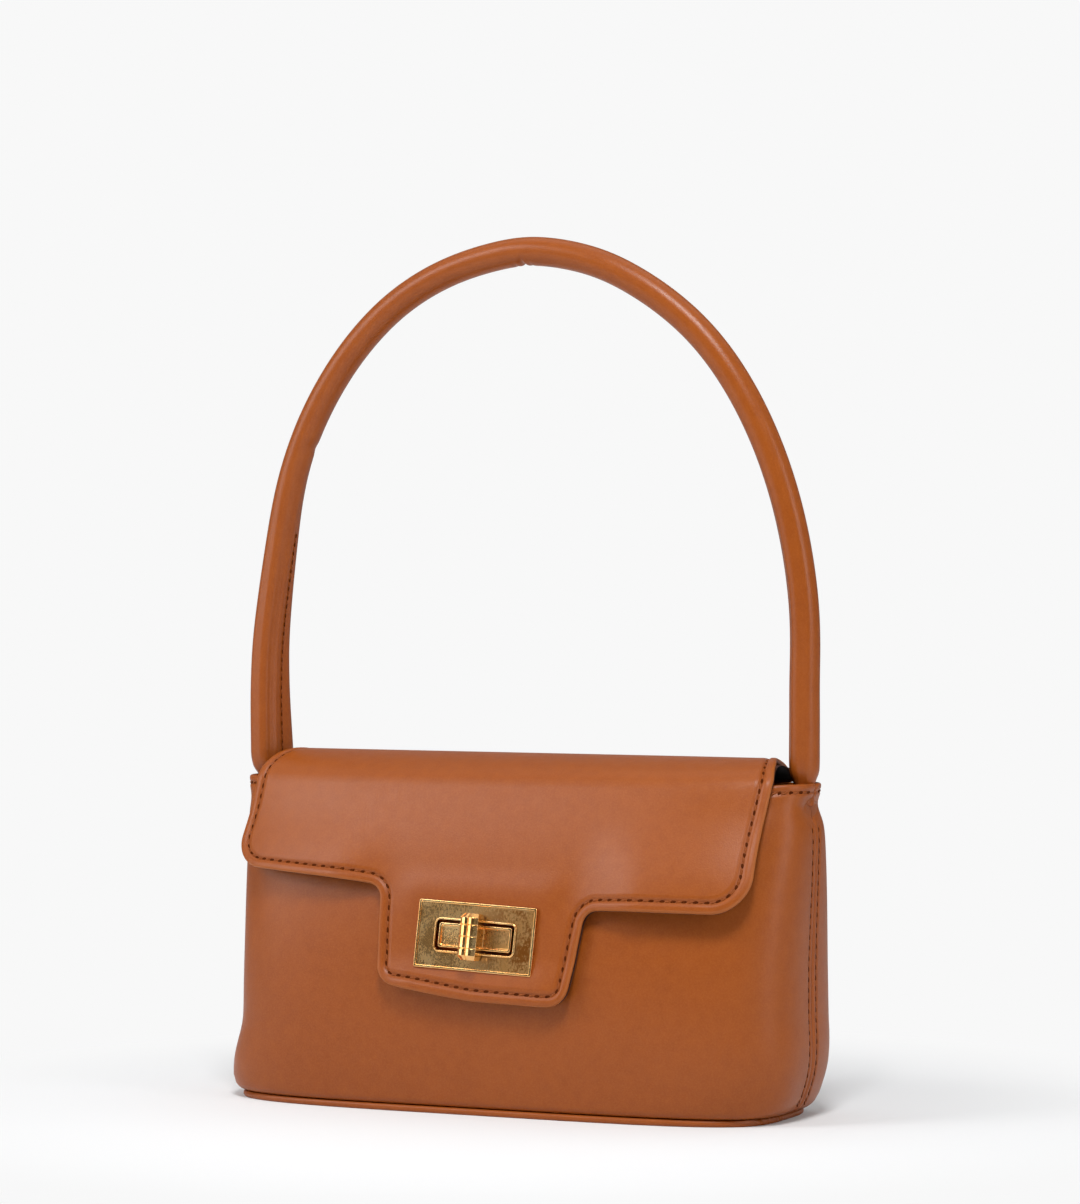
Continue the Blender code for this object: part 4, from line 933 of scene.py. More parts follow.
def sheet_with_border(name, outline, profile, place, cell, materials, border_material=0):
    """Rings of the border, the middle's triangles above and below, and the window's wall, welded."""
    distances, shares, relief = profile
    rings = np.stack([inset(outline, distance) for distance in distances])
    count = rings.shape[1]
    flat, triangles = fill_flat(rings[0], window, cell)
    points = [place(rings, shares[:, None] + 0 * rings[..., 0], relief[:, None] + 0 * rings[..., 0])]
    points += [place(flat, np.full(len(flat), shares[k]), np.full(len(flat), relief[k])) for k in (0, -1)]
    points += [place(window, np.full(len(window), shares[k]), np.zeros(len(window))) for k in (0, -1)]
    points = [p.reshape(-1, 3) for p in points]
    starts = np.cumsum([len(p) for p in points])
    groups = [ring_faces(len(distances), count), triangles + starts[0], triangles + starts[1],
              ring_faces(2, len(window)) + starts[2]]
    edge = np.zeros(starts[-1])
    edge[:starts[0]] = np.repeat(1 - fade(distances, *EDGE_FADE), count)
    painted = len(distances) * count  # the border's faces, and some of the top's that lie hidden
    indices = border_material * (np.arange(sum(map(len, groups))) < painted)
    return make_piece(name, np.concatenate(points), groups, materials, WELD, 50, {"edge": edge}, indices)

# %% Make the flap's leather, lining and board
LEATHER_CELL = 0.0030
THIN_CELL = 0.0045
LINING_LEVELS = (0.00005, 0.00035)
LINING_START = 0.0006
LINING_CORNER = 0.0030
BOARD_LEVELS = (0.00040, 0.00080)
BOARD_START = 0.0040
BOARD_MARGIN = 0.0040
BOARD_CORNER = 0.0060
FLAP_BEND = ("bag", "flap", (0.0, 0.0107, HEM_HEIGHT), (0.0, -0.0050, HEM_HEIGHT))


def thin_profile():
    """A thin sheet's border: its top, a small round edge and its underside."""
    distances = np.array([0.0020, 0.0008, 0.0003, 0.00005, 0.00005, 0.0003, 0.0008, 0.0020])
    shares = np.array([1, 1, 0.95, 0.7, 0.3, 0.05, 0, 0])
    return distances, shares, np.zeros(8)


def thin_point(low, high):
    """Where a thin sheet lies: between two distances outside the flap's inner face."""
    def place(flat, share, relief):
        x, s = skewed(flat[..., 0], flat[..., 1])
        return flap_place(x, s, low + (high - low) * share + relief)
    return place


cover = sheet_with_border("flap_cover_leather", leather_outline, leather_profile(), leather_point,
                          LEATHER_CELL, [tan_edged])
dress(cover, "tan_leather", ["flap_leather", "flap_back_strip"], *FLAP_BEND)
lining = sheet_with_border("flap_lining_cloth", flap_outline(LINING_START, LINING_CORNER), thin_profile(),
                           thin_point(*LINING_LEVELS), THIN_CELL, [black_cloth, edge_paint], 1)
dress(lining, "black_lining", ["flap_lining"], *FLAP_BEND)
board_outline = inset(flap_outline(ARCH_LENGTH + BOARD_START, BOARD_CORNER), BOARD_MARGIN)
board = sheet_with_border("flap_board_sheet", board_outline, thin_profile(), thin_point(*BOARD_LEVELS),
                          THIN_CELL, [grey_board])
dress(board, "grey_board", ["flap_board"], "flap")

# %% [markdown]
# Thread by thread
#
# A row of stitches is one small shape repeated. Each stitch is a thread that rises out of one needle hole
# and dives into the next; the shade inside each hole is painted as a dark lens on the floor of the trough.
# Both are drawn once, and numpy lays all copies along the seam in one sum: place + a * along + b * aside + c
# * out.

# %% One thread and one hole's painted shade
THREAD_RADIUS = 0.00040
THREAD_RISE = 0.00042
THREAD_SINK = 0.00030
THREAD_FLATNESS = 0.85
HOLE_HALF_LENGTH = 0.00112
HOLE_HALF_WIDTH = 0.00068
HOLE_RISE = 0.00022
HOLE_OUT = 0.00006


def thread_shape(length):
    """Points along, aside and out: eight rings round an arc that sinks at both ends; and their faces."""
    share = np.linspace(0, 1, 8)[:, None]
    turn = np.linspace(0, 2 * math.pi, 7)[None, :-1]
    radius = THREAD_RADIUS * np.sqrt(np.clip(np.sin(math.pi * share), 0.02, 1))
    out = THREAD_RISE * np.sin(math.pi * share) - THREAD_SINK + radius * THREAD_FLATNESS * np.sin(turn)
    return np.stack([length * (share - 0.5) + 0 * turn, radius * np.cos(turn), out], -1), capped(8, 6)


def hole_shade_lens():
    """A flat dark lens of painted shade for a needle hole, longer along the seam than across it: four rings
    of eight points, and their faces.
    """
    share = np.linspace(0.08, 1, 4)[:, None] * math.pi / 2
    turn = np.linspace(0, 2 * math.pi, 9)[None, :-1]
    along = HOLE_HALF_LENGTH * np.sin(share) * np.cos(turn)
    aside = HOLE_HALF_WIDTH * np.sin(share) * np.sin(turn)
    return np.stack([along, aside, HOLE_RISE * np.cos(share) + HOLE_OUT + 0 * turn], -1), capped(4, 8)


def lay_copies(shape, places, along, out):
    """The shape's points at each place, turned so that it runs along the seam and stands out of it."""
    points, groups = shape[0].reshape(1, -1, 3), shape[1]
    out = unit(out)
    along = unit(along - out * (along * out).sum(-1, keepdims=True))
    aside = np.cross(out, along)
    laid = places[:, None] + points[..., :1] * along[:, None] + points[..., 1:2] * aside[:, None]
    shifts = (np.arange(len(places)) * points.shape[1])[:, None, None]
    groups = [(group[None] + shifts).reshape(-1, group.shape[1]) for group in groups]
    return (laid + points[..., 2:] * out[:, None]).reshape(-1, 3), groups


print("points in a thread and in a hole:", thread_shape(0.004)[0].size // 3, hole_shade_lens()[0].size // 3)

# %% Sewing
FLAP_PITCH = 0.0041
THREAD_SHARE = 0.93
SLANT = 0.25
NEAR_SHARE = 0.0005
SEAM_SAMPLES = 4001


def sew(name, line, bodies, closed=False, pitch=FLAP_PITCH):
    """Sew along a line, a function from a 0 to 1 share to points and outward normals, evenly by length."""
    share = np.linspace(0, 1, SEAM_SAMPLES)
    length = lengths_along(line(share)[0])
    count = max(1, round(length[-1] / pitch))
    holes = np.interp(np.linspace(0, length[-1], count + 1)[:-1 if closed else None], length, share)
    middles = np.interp((np.arange(count) + 0.5) * length[-1] / count, length, share)
    laid = []
    for shape, shares in ((thread_shape(length[-1] / count * THREAD_SHARE), middles), (hole_shade_lens(), holes)):
        places, out = line(shares)
        ahead, behind = [line(np.clip(shares + step, 0, 1))[0] for step in (NEAR_SHARE, -NEAR_SHARE)]
        along = unit(ahead - behind)
        laid.append(lay_copies(shape, places, along + SLANT * np.cross(unit(out), along), out))
    (threads, thread_groups), (lenses, lens_groups) = laid
    groups = thread_groups + [group + len(threads) for group in lens_groups]
    indices = np.repeat([0, 1], [sum(map(len, thread_groups)), sum(map(len, lens_groups))])
    piece = make_piece(name, np.concatenate([threads, lenses]), groups, [thread, painted_hole_shade], sharp=60,
                       indices=indices)
    dress(piece, "tan_leather", [], *bodies)

# %% Sew the flap and the body
SIDE_PITCH = 0.0038
OUTWARDS = 0.002
HEM_SEAM_SHARES = (0.020, 0.980)


def flap_seam(share):
    """The seam round the flap: the outline moved in, at the trough's floor."""
    line = inset(leather_outline, FLAP_STITCH_IN)
    line = np.vstack([line, line[:1]])
    steps = np.linspace(0, 1, len(line))
    flat = np.stack([np.interp(share, steps, line[:, 0]), np.interp(share, steps, line[:, 1])], -1)
    floor = leather_point(flat, np.ones(len(flat)), np.full(len(flat), -FLAP_STITCH_DIP))
    return floor, leather_point(flat, np.ones(len(flat)), np.full(len(flat), OUTWARDS / 2)) - floor


def on_panel(turn, z, front):
    """A place on a panel's outer leather, and the way out of it."""
    place = wall_point(turn, z, front, panel_relief(turn, z, front))
    return place, wall_point(turn, z, front, -OUTWARDS) - place


def hem_seam(front):
    """The seam along a panel's hem, from side to side."""
    def line(share):
        turn = math.pi * (HEM_SEAM_SHARES[0] + (HEM_SEAM_SHARES[1] - HEM_SEAM_SHARES[0]) * share)
        return on_panel(turn, np.full(turn.shape, HEM_HEIGHT - HEM_STITCH_DROP), front)
    return line


def side_seam(front, left):
    """The topstitching beside a side seam, from near the base to below the notch."""
    def line(share):
        z = SIDE_STITCH_LOW + (SIDE_STITCH_TOP - SIDE_STITCH_LOW) * share
        turn = np.arcsin((SEAM_STITCH_IN / body_depth(z, front)) ** (squareness(z) / 2))
        return on_panel(math.pi - turn if left else turn, z, front)
    return line


sew("flap_stitching", flap_seam, FLAP_BEND, closed=True)
for word, front in SIDES:
    sew(word + "_hem_stitching", hem_seam(front), ["bag"])
    for side_word, left in (("left", True), ("right", False)):
        sew(f"{word}_{side_word}_seam_stitching", side_seam(front, left), ["bag"], pitch=SIDE_PITCH)

# %% [markdown]
# The rolled handle
#
# The handle is a strip of leather rolled round a cord. Its edges meet on the inner side: from the feet up
# they are pressed together into a sewn ridge that dies away after 12 cm, so the section there is a teardrop.
# A section that changes along a path is again one formula: the radius as a function of turn and height.
# At the crown, and two thirds of the way up on the left, the leather has creased on its inner side, where
# the handle is carried and folded. The cord inside follows the same middle line with a round section.

# %% The handle's path
HANDLE_HALF = 0.1113
HANDLE_LEAN = 0.0008
HANDLE_LEAN_REACH = (0.15, 0.19)
HANDLE_FOOT = 0.1111
HANDLE_FOOT_LOW = 0.1135
HANDLE_FOOT_TOP = 0.1500
HANDLE_LEG_TOP = 0.1650
HANDLE_RISE = 0.1527
HANDLE_POWER = 2 / 2.08
CROWN_PEAK = 0.0007
CROWN_PEAK_WIDTH = 0.014
CROWN_PEAK_TOP = 0.30
LEFT_SPREAD = 0.0020
LEFT_SPREAD_REACH = (0.010, 0.060)
LEFT_SPREAD_GAP = (0.205, 0.030)  # middle, width
LEFT_SPREAD_HEIGHTS = (0.119, 0.130)
RIGHT_DRAW = 0.0015
RIGHT_DRAW_REACH = (0.005, 0.050)
RIGHT_DRAW_PLACE = (0.306, 0.016)
PIVOT_Z = joints["handle_swing"]["pos_m"][2]
HANDLE_BEND = ("bag", "handle", (0, 0, HEM_HEIGHT), (0, 0, 2 * PIVOT_Z - HEM_HEIGHT))


def handle_line():
    """Dense points of the middle line: a leg, the superellipse arch and the other leg."""
    leg_z = HANDLE_FOOT_LOW + (HANDLE_LEG_TOP - HANDLE_FOOT_LOW) * np.linspace(0, 1, 200)[:-1]
    leg_x = HANDLE_FOOT + (HANDLE_HALF - HANDLE_FOOT) * fade(leg_z, PIVOT_Z, HANDLE_FOOT_TOP)
    turn = np.linspace(0, math.pi, 1200)
    arch_x = -HANDLE_HALF * np.sign(np.cos(turn)) * np.abs(np.cos(turn)) ** HANDLE_POWER
    arch_z = HANDLE_LEG_TOP + HANDLE_RISE * np.abs(np.sin(turn)) ** HANDLE_POWER
    beside = 1 - bump(arch_x, 0, CROWN_PEAK_WIDTH)
    arch_z = arch_z - CROWN_PEAK * beside * fade(arch_z, HANDLE_LEG_TOP, CROWN_PEAK_TOP)
    z = np.concatenate([leg_z, arch_z, leg_z[::-1]])
    x = np.concatenate([-leg_x, arch_x, leg_x[::-1]]) - HANDLE_LEAN * (1 - fade(z, *HANDLE_LEAN_REACH))
    spread = fade(-x, *LEFT_SPREAD_REACH) * (1 - bump(z, *LEFT_SPREAD_GAP)) * fade(z, *LEFT_SPREAD_HEIGHTS)
    x = x - LEFT_SPREAD * spread
    return np.stack([x - RIGHT_DRAW * fade(x, *RIGHT_DRAW_REACH) * bump(z, *RIGHT_DRAW_PLACE), z], -1)


def on_line(length):
    """The middle line's x and z at a length from the left foot."""
    return np.stack([np.interp(length, line_length, middle_line[:, k]) for k in (0, 1)], -1)


middle_line = handle_line()
line_length = lengths_along(middle_line)
HANDLE_LENGTH = line_length[-1]
print("the handle's middle line is", round(HANDLE_LENGTH, 4), "m long")

# %% The handle's section
HANDLE_RADIUS = 0.0054
HANDLE_SWELL = 0.0003
RIDGE_HEIGHT = 0.0060
RIDGE_TURN = math.radians(126)
RIDGE_TOP = 0.1180
RIDGE_SHARPNESS = 9
RIDGE_FADE = 0.004
FURROW_HEIGHTS = (0.16, 0.26)
FURROWS = ((0.00065, math.radians(212), 0.05), (0.00040, math.radians(285), 0.04))  # depth, turn, width
KINK_HEIGHT = 0.2480
LEFT_POINTS = 600  # of the middle line, all on the left
KINK_PLACE = (np.interp(KINK_HEIGHT, middle_line[:LEFT_POINTS, 1], line_length[:LEFT_POINTS])
              - HANDLE_LENGTH / 2)
CROWN_CREASES = ((0.0011, 0.0, 0.0012, 2), (0.00025, 0.0034, 0.0010, 3))  # depth, distance, width, power
KINK = (0.0006, 0.0020, 2)  # depth, width, power
ROOT_SHRINK_SHARE = 0.30
LINE_STEP = 0.001


def handle_radius(turn, z, far):
    """The section's radius: round, plus the ridge, less the legs' furrows and the creases."""
    low_part = np.clip(1 - (z - PIVOT_Z) / RIDGE_TOP, 0, 1)
    low_part = low_part * fade(z, PIVOT_Z - RIDGE_FADE, PIVOT_Z + RIDGE_FADE)
    ridge = RIDGE_HEIGHT * low_part * np.maximum(0, np.cos(turn - RIDGE_TURN)) ** RIDGE_SHARPNESS
    dips = (1 - fade(z, *FURROW_HEIGHTS)) * sum(depth * bump(np.cos(turn - place), 1, width)
                                                for depth, place, width in FURROWS)
    inner = np.maximum(0, -np.cos(turn))
    dips = dips + sum(depth * bump(np.abs(far), place, width) * inner ** power
                      for depth, place, width, power in CROWN_CREASES)
    dips = dips + KINK[0] * bump(far, KINK_PLACE, KINK[1]) * inner ** KINK[2]
    root = 1 - ROOT_SHRINK_SHARE * (1 - fade(z, HEM_HEIGHT, PIVOT_Z))
    return (HANDLE_RADIUS + HANDLE_SWELL * low_part + ridge - dips) * root


def round_line(length, turn, radius):
    """A point round the middle line: out across the arch by cos(turn), towards the back by sin(turn)."""
    place = on_line(length)
    along = unit(on_line(length + LINE_STEP) - on_line(length - LINE_STEP))
    out, deep = radius * np.cos(turn), radius * np.sin(turn)
    x, z = place[..., 0] - along[..., 1] * out, place[..., 1] + along[..., 0] * out
    return np.stack([x, deep + 0 * length, z], -1)


def handle_point(length, turn, proud=0.0):
    """A point of the rolled leather, or one that stands proud of it."""
    far = length - HANDLE_LENGTH / 2
    return round_line(length, turn, handle_radius(turn, on_line(length)[..., 1], far) + proud)


# %% Make the handle and its cord
HANDLE_RINGS = 380
CREASE_REACH = 0.008
CREASE_RINGS = 41
HANDLE_COLUMNS = 64
CORD_RADIUS = 0.0036
CORD_START = 0.0150
CORD_RINGS = 300
CORD_COLUMNS = 24
HANDLE_PITCH = 0.0034
RIDGE_SEAM_START = 0.009
RIDGE_SEAM_SHARE = 0.78
RIDGE_SEAM_LEANS = (("front", math.radians(36)), ("back", math.radians(-19)))


def make_tube(name, section, lengths, columns, material, slot, nodes):
    """A skin round the middle line, closed at both ends; section gives a point at a length and a turn."""
    lengths, turns = np.meshgrid(lengths, np.linspace(0, 2 * math.pi, columns + 1)[:-1], indexing="ij")
    piece = make_piece(name, section(lengths, turns), capped(*lengths.shape), [material])
    dress(piece, slot, nodes, *HANDLE_BEND)


def cord_point(length, turn):
    """A point of the cord that fills the leather."""
    return round_line(length, turn, CORD_RADIUS)


def ridge_seam(left, lean):
    """The seam up one foot's ridge, on the face that leans from the ridge's middle by an angle."""
    def line(share):
        length = RIDGE_SEAM_START + share * (RIDGE_TOP * RIDGE_SEAM_SHARE)
        length = length if left else HANDLE_LENGTH - length
        turn = RIDGE_TURN + lean + 0 * length
        here = handle_point(length, turn)
        return here, handle_point(length, turn, OUTWARDS / 2) - here
    return line


lengths = np.unique(np.concatenate([
    np.linspace(0, HANDLE_LENGTH, HANDLE_RINGS),
    HANDLE_LENGTH / 2 + np.linspace(-CREASE_REACH, CREASE_REACH, CREASE_RINGS)]))
make_tube("handle_leather", handle_point, lengths, HANDLE_COLUMNS, tan_rolled, "tan_leather",
          ["handle_cover", "handle_tongue_left", "handle_tongue_right"])
make_tube("handle_cord", cord_point, np.linspace(CORD_START, HANDLE_LENGTH - CORD_START, CORD_RINGS),
          CORD_COLUMNS, cord_fibre, "filler_cord", ["handle_core"])
for word, left in (("left", True), ("right", False)):
    for face_word, lean in RIDGE_SEAM_LEANS:
        sew(f"handle_{word}_{face_word}_stitching", ridge_seam(left, lean), HANDLE_BEND, pitch=HANDLE_PITCH)

# %% [markdown]
# The turn lock
#
# The lock has three parts that show: a plate on the flap with a window in it, a housing on the bag that fills
# the window, and the bar that turns to lock them. Stamped parts like the plate are rounded oblongs at many
# depths, so each is a skin through rings, and a list of sizes and heights is the whole drawing.

# %% Rings for stamped parts
MIN_RADIUS = 0.0001


def from_lock(points):
    """Places in the lock's frame, right, up and out, brought into the bag's."""
    return LOCK_PLACE + points[..., :1] * LOCK_RIGHT + points[..., 1:2] * LOCK_UP + points[..., 2:] * LOCK_OUT


def stamped_ring(width, height, radius, out):
    """A rounded oblong of 64 points at a height: 16 to each corner's arc."""
    turns = np.radians(np.linspace(0, 90, 16)[None] + np.array([0, 90, 180, 270])[:, None])
    u = np.array([1, -1, -1, 1])[:, None] * (width / 2 - radius) + radius * np.cos(turns)
    v = np.array([1, 1, -1, -1])[:, None] * (height / 2 - radius) + radius * np.sin(turns)
    return np.stack([u, v, np.full(u.shape, out)], -1).reshape(-1, 3)


def stamped(name, rings, materials, wrap=False, nodes=(), body="bag"):
    """A skin through (width, height, radius, out, polish) rings; a second material is its floor's."""
    points = np.stack([stamped_ring(*ring[:4]) for ring in rings])
    count = points.shape[1]
    groups = [ring_faces(len(rings), count, True)] if wrap else capped(len(rings), count)
    indices = np.zeros(sum(map(len, groups)), int)
    if len(materials) > 1:
        indices[-count - 2:] = 1
        indices[-2] = 0
    piece = make_piece(name, from_lock(points), groups, materials, sharp=35, indices=indices,
                       values={"polish": np.repeat([ring[4] for ring in rings], count)})
    dress(piece, "antique_brass", nodes, body)


def rolled(width, height, radius, top, roll, outwards=-1, polish=1.0):
    """Rings over a rounded edge: a quarter turn from the wall to the top, inwards unless outwards is 1."""
    turns = np.radians(np.linspace(0, 90, 6))
    grow = zip(outwards * roll * (1 - np.cos(turns)), top - roll + roll * np.sin(turns))
    return [(width + 2 * g, height + 2 * g, max(radius + g, MIN_RADIUS), out, polish) for g, out in grow]


def sized(size, grow, radius, out, polish):
    """One ring: a width and a height with as much added to both, a corner radius, a height and a polish."""
    return size[0] + grow, size[1] + grow, radius, out, polish


# %% Make the plate
PLATE_LOW = 0.0042
PLATE_FACE = 0.0050
RIM_TOP = 0.0054
RIM_WIDTH = 0.0009
RIM_ROLLS = (0.00028, 0.00022)  # outside, inside
PLATE_RADII = (0.0007, 0.0003, 0.0005)  # corner, inside the rim, on the face
COLLAR_TOP = 0.0056
COLLAR_ROLLS = (0.00030, 0.00025)
COLLAR_FOOT = 0.0014
LIP = 0.0001
FIELD_STEP = 0.0012

plate = (PLATE_WIDTH, PLATE_HEIGHT)
field = (PLATE_WIDTH - 2 * RIM_WIDTH, PLATE_HEIGHT - 2 * RIM_WIDTH)
opening = (WINDOW_WIDTH, WINDOW_HEIGHT)
collar = (WINDOW_WIDTH + 2 * COLLAR_WALL, WINDOW_HEIGHT + 2 * COLLAR_WALL)
collar_radius = WINDOW_RADIUS + COLLAR_WALL
stamped("flap_plate_brass", [
    sized(plate, 0, PLATE_RADII[0], PLATE_LOW, 0.6),
    *rolled(*plate, PLATE_RADII[0], RIM_TOP, RIM_ROLLS[0]),
    *rolled(*field, PLATE_RADII[1], RIM_TOP, RIM_ROLLS[1], 1)[::-1],
    sized(field, -LIP, PLATE_RADII[1], PLATE_FACE, 0.7),
    sized(field, -FIELD_STEP, PLATE_RADII[2], PLATE_FACE, 0.0),
    sized(collar, COLLAR_FOOT, collar_radius + COLLAR_FOOT / 2, PLATE_FACE, 0.0),
    sized(collar, LIP, collar_radius, PLATE_FACE, 0.2),
    *rolled(*collar, collar_radius, COLLAR_TOP, COLLAR_ROLLS[0]),
    *rolled(*opening, WINDOW_RADIUS, COLLAR_TOP, COLLAR_ROLLS[1], 1)[::-1],
    sized(opening, 0, WINDOW_RADIUS, FLAP_GAP, 0.0),
    sized(collar, 0, collar_radius, FLAP_GAP, 0.0),
    sized(collar, 0, collar_radius, PLATE_LOW, 0.0)], [brass], True, ["flap_plate"], "flap")

# %% Make the housing and its boss
HOUSING = (0.0296, 0.0090)
HOUSING_LOW = 0.0004
HOUSING_RADII = (0.0010, 0.0006, 0.0005, 0.0004)
HOUSING_ROLLS = (0.00030, 0.00025)
WELL_STEP = 0.0005
POCKET_FLOOR = 0.0045
POCKET_CORNER = 0.0002
BOSS = (0.0072, 0.0072, 0.0006)
BOSS_SINK = 0.0006
BOSS_ROLL = 0.0003

tray = (HOUSING[0] - 2 * RIM_WIDTH, HOUSING[1] - 2 * RIM_WIDTH)
stamped("lock_housing_brass", [
    sized(HOUSING, 0, HOUSING_RADII[0], HOUSING_LOW, 0.3),
    *rolled(*HOUSING, HOUSING_RADII[0], RIM_TOP, HOUSING_ROLLS[0]),
    *rolled(*tray, HOUSING_RADII[1], RIM_TOP, HOUSING_ROLLS[1], 1)[::-1],
    sized(tray, -POCKET_CORNER, HOUSING_RADII[2], POCKET_FLOOR + POCKET_CORNER, 0.3),
    sized(tray, -POCKET_CORNER - WELL_STEP, HOUSING_RADII[3], POCKET_FLOOR, 0.2)],
    [brass, hammered_brass], nodes=["lock_housing"])
stamped("lock_housing_boss", [(*BOSS, POCKET_FLOOR - BOSS_SINK, 0.0),
                              *rolled(*BOSS, RIM_TOP, BOSS_ROLL, polish=0.2)], [brass])

# %% [markdown]
# The bar that turns
#
# The bar is a cast piece with two rounded columns along it, chamfered long edges and sloped ends, cut across
# by three fine grooves. Its section is carried along its length and a Bevel breaks every edge, since on metal
# it is the small bright edge that tells the eye how hard a thing is.

# %% Make the turning bar
KNOB_LOW = 0.0057
KNOB_TOP = 0.0119
KNOB_HALF_WIDTH = 0.0036
KNOB_HALF_LENGTH = 0.0085
KNOB_CHAMFER = 0.0012
KNOB_END = 0.0016
COLUMN_DROPS = (0.0003, 0.0002)  # at its outer edge, at its inner edge
COLUMN_TOP_SHARE = 0.55
GROOVE_DEPTH = 0.00028
GROOVE_HALF = 0.00022
CROSS_GROOVES = (-0.0043, 0.0, 0.0043)
KNOB_POLISH = 0.8
WORN_EDGE = 0.00013
WORN_ANGLE = math.radians(28)
SPINDLE = (0.0038, 0.0038, 0.0019)
SPINDLE_LOW = 0.0010
SPINDLE_LAP = 0.001


def knob_ring(v, cut, drop):
    """The section at v: two rounded columns with a groove between, narrowed and lowered by a cut."""
    half, top = KNOB_HALF_WIDTH - cut / 2, KNOB_TOP - cut - drop
    face = half - KNOB_CHAMFER
    right = [(half, KNOB_LOW), (half, top - KNOB_CHAMFER), (face, top - COLUMN_DROPS[0]),
             (face * COLUMN_TOP_SHARE, top), (GROOVE_HALF, top - COLUMN_DROPS[1]),
             (GROOVE_HALF / 4, top - GROOVE_DEPTH * 2)]
    return [(u, v, w) for u, w in right + [(-u, w) for u, w in reversed(right)]]


stations = [(-KNOB_HALF_LENGTH, KNOB_END, 0.0), (KNOB_END - KNOB_HALF_LENGTH, 0.0, 0.0)]
for place in CROSS_GROOVES:
    stations += [(place - GROOVE_HALF, 0.0, 0.0), (place, 0.0, GROOVE_DEPTH), (place + GROOVE_HALF, 0.0, 0.0)]
stations += [(KNOB_HALF_LENGTH - KNOB_END, 0.0, 0.0), (KNOB_HALF_LENGTH, KNOB_END, 0.0)]
rings = np.array([knob_ring(*station) for station in stations])
bar = make_piece("turn_knob_brass", from_lock(rings), capped(*rings.shape[:2]), [brass], sharp=20,
                 values={"polish": np.full(rings.shape[:2], KNOB_POLISH)})
edge = bar.modifiers.new("worn edges", "BEVEL")
edge.width = WORN_EDGE
edge.segments = 2
edge.limit_method = "ANGLE"
edge.angle_limit = WORN_ANGLE
dress(bar, "antique_brass", ["turn_knob"], "turn_knob")
stamped("turn_knob_spindle", [(*SPINDLE, SPINDLE_LOW, 0.2), (*SPINDLE, KNOB_LOW + SPINDLE_LAP, 0.2)], [brass],
        body="turn_knob")

# %% [markdown]
# What stays as it was built
#
# The body's boards, the tapes, the lock's inner plates, the ring and the spring are hidden inside, and their
# plain solids are right as they are. They only take the finishes above, so that nothing is left bare when
# the bag is opened.

# %% Dress the hidden parts
HIDDEN = {
    "front_interlining": grey_board, "back_interlining": grey_board, "base_board": grey_board,
    "seam_tape_left": tan_leather, "seam_tape_right": tan_leather,
    "flap_plate_backing": brass, "lock_back_plate": brass,
    "spindle_ring": steel, "detent_spring": steel,
}
for name, material in HIDDEN.items():
    mesh = frame["nodes"][name].data
    mesh.materials.clear()
    mesh.materials.append(material)
print("plain solids dressed:", len(HIDDEN))

# %% [markdown]
# The pale sweep
#
# Product pictures stand on a sheet that curves up behind. Near the bag the sheet is a matt surface that
# takes a soft shadow; farther off it turns into plain pale light, so that it has no horizon and no grey edge.

# %% Make the sweep
PALE = (0.939, 0.939, 0.939, 1)
MATT = (0.80, 0.81, 0.82, 1)
AZIMUTH = math.radians(26.54)
SHADOW_REACH = (0.12, 0.27)
NEAR_LIGHT_SHARE = 0.08


def sweep_material():
    """Matt near the bag, plain light farther away and to the camera's eye."""
    material = bpy.data.materials.new("pale_sweep_finish")
    material.use_nodes = True
    tree = material.node_tree
    tree.nodes.remove(tree.nodes["Principled BSDF"])
    place = Wire(tree).node("ShaderNodeTexCoord", {}, {}, 3)
    far = place.vector("LENGTH", output=1).between(*SHADOW_REACH)
    seen = place.node("ShaderNodeLightPath")
    matt = place.node("ShaderNodeBsdfDiffuse", {}, {"Color": MATT})
    light = place.node("ShaderNodeEmission", {}, {"Color": PALE, "Strength": 1.0})
    share = seen * (far * (1 - NEAR_LIGHT_SHARE) + NEAR_LIGHT_SHARE)
    mixed = place.node("ShaderNodeMixShader", {}, {0: share, 1: matt, 2: light})
    tree.links.new(mixed.socket, tree.nodes["Material Output"].inputs["Surface"])
    return material


def make_sweep():
    """The floor out to 2 m behind and a wall that rises there in a quarter circle of 1 m radius."""
    turns = np.linspace(0, math.pi / 2, 24)
    bend = np.stack([2 + np.sin(turns), 1 - np.cos(turns)], -1)
    profile = np.concatenate([[(-4.0, 0.0)], bend, [(3.0, 5.0)]])
    points = np.array([[(x, y, z) for x in (-5.0, 0.0, 5.0)] for y, z in profile])
    turn = np.array([[math.cos(AZIMUTH), -math.sin(AZIMUTH)], [math.sin(AZIMUTH), math.cos(AZIMUTH)]])
    points[..., :2] = points[..., :2] @ turn.T
    mesh = bpy.data.meshes.new("pale_sweep")
    faces = quads(np.arange(points.size // 3).reshape(points.shape[:2]))
    mesh.from_pydata(points.reshape(-1, 3).tolist(), [], faces.tolist())
    mesh.shade_smooth()
    mesh.materials.append(sweep_material())
    sweep = bpy.data.objects.new("pale_sweep", mesh)
    bpy.context.collection.objects.link(sweep)
    print("sweep:", len(mesh.polygons), "faces")


make_sweep()

# %% [markdown]
# Camera and light
#
# The photograph was taken with a long lens from the right of the front, level with the bag. The light comes
# from a lamp high above the camera, two soft boxes at the left, one at the right end, and a pale room that is
# dark behind the camera, which gives leather and brass their deeper tones.

# %% Camera
DISTANCE = 1.467
EYE_HEIGHT = 0.191
ROLL = math.radians(-0.32)
SENSOR_HEIGHT = 36.0
LENS = 117.7
FRAME_SHIFT = (0.00905, -0.00872)

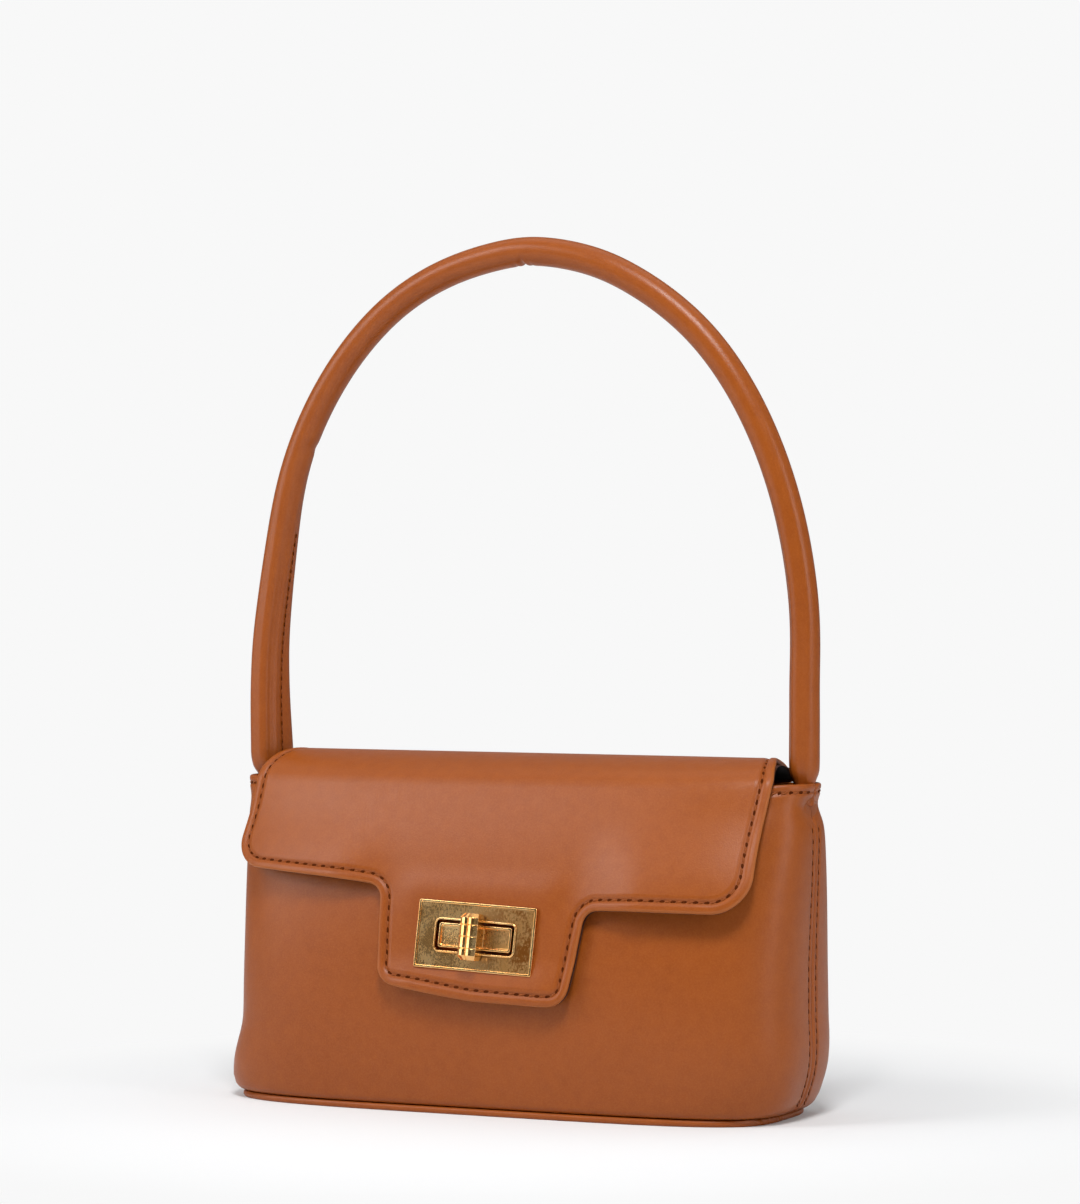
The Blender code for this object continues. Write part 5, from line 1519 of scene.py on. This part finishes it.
camera = bpy.data.cameras.new("camera")
camera.sensor_fit = "VERTICAL"
camera.sensor_height = SENSOR_HEIGHT
camera.lens = LENS
camera.shift_x, camera.shift_y = FRAME_SHIFT
camera.clip_end = 50
eye = bpy.data.objects.new("camera", camera)
bpy.context.collection.objects.link(eye)
place = Matrix.Translation((math.sin(AZIMUTH) * DISTANCE, -math.cos(AZIMUTH) * DISTANCE, EYE_HEIGHT))
turn = Matrix.Rotation(AZIMUTH, 4, "Z") @ Matrix.Rotation(math.pi / 2, 4, "X")
eye.matrix_world = place @ turn @ Matrix.Rotation(ROLL, 4, "Z")
bpy.context.scene.camera = eye
print("camera", DISTANCE, "m away")

# %% Lamps and surround
AIM = Vector((0, 0, 0.10))
SOFTBOXES = (  # name, place, width, height, watts
    ("key", (0.44, -0.87, 1.49), 0.40, 0.40, 19),
    ("high", (-0.92, -1.05, 1.15), 0.50, 0.60, 7.5),
    ("left", (-1.36, -0.90, 0.66), 0.8, 0.9, 7.5),
    ("side", (1.50, -0.40, 0.60), 0.45, 1.0, 6.5))
ROOM_REACH = (0.1, 0.8)
SKY = (-0.6 * math.sin(AZIMUTH), 0.6 * math.cos(AZIMUTH), 0.8)
SKY_REACH = (0.55, 0.95)
GLOW = (0.26, -0.20, 1.0)  # all round, change towards the room, change towards the sky


def add_softbox(name, place, width, height, power):
    """A rectangular lamp, turned to look at the bag."""
    lamp = bpy.data.lights.new(name, "AREA")
    lamp.shape = "RECTANGLE"
    lamp.size, lamp.size_y = width, height
    lamp.energy = power
    box = bpy.data.objects.new(name, lamp)
    bpy.context.collection.objects.link(box)
    away = Vector(place) - AIM
    box.matrix_world = Matrix.Translation(place) @ away.to_track_quat("Z", "Y").to_matrix().to_4x4()


def add_world():
    """A surround pale to the camera and dim to the bag: dark behind the camera, bright above and behind."""
    world = bpy.data.worlds.new("studio")
    bpy.context.scene.world = world
    world.use_nodes = True
    tree = world.node_tree
    seen = Wire(tree).node("ShaderNodeLightPath")
    way = seen.node("ShaderNodeTexCoord")
    ahead = (math.sin(AZIMUTH), -math.cos(AZIMUTH), 0.0)
    room = way.vector("DOT_PRODUCT", ahead, 1).between(*ROOM_REACH)
    sky = way.vector("DOT_PRODUCT", SKY, 1).between(*SKY_REACH)
    strength = seen + (1 - seen) * (room * GLOW[1] + GLOW[0] + sky * GLOW[2])
    tree.links.new(strength.socket, tree.nodes["Background"].inputs["Strength"])
    tree.nodes["Background"].inputs["Color"].default_value = PALE


for softbox in SOFTBOXES:
    add_softbox(*softbox)
add_world()
bpy.context.scene.view_settings.view_transform = "Standard"
print("lamps:", len(SOFTBOXES))
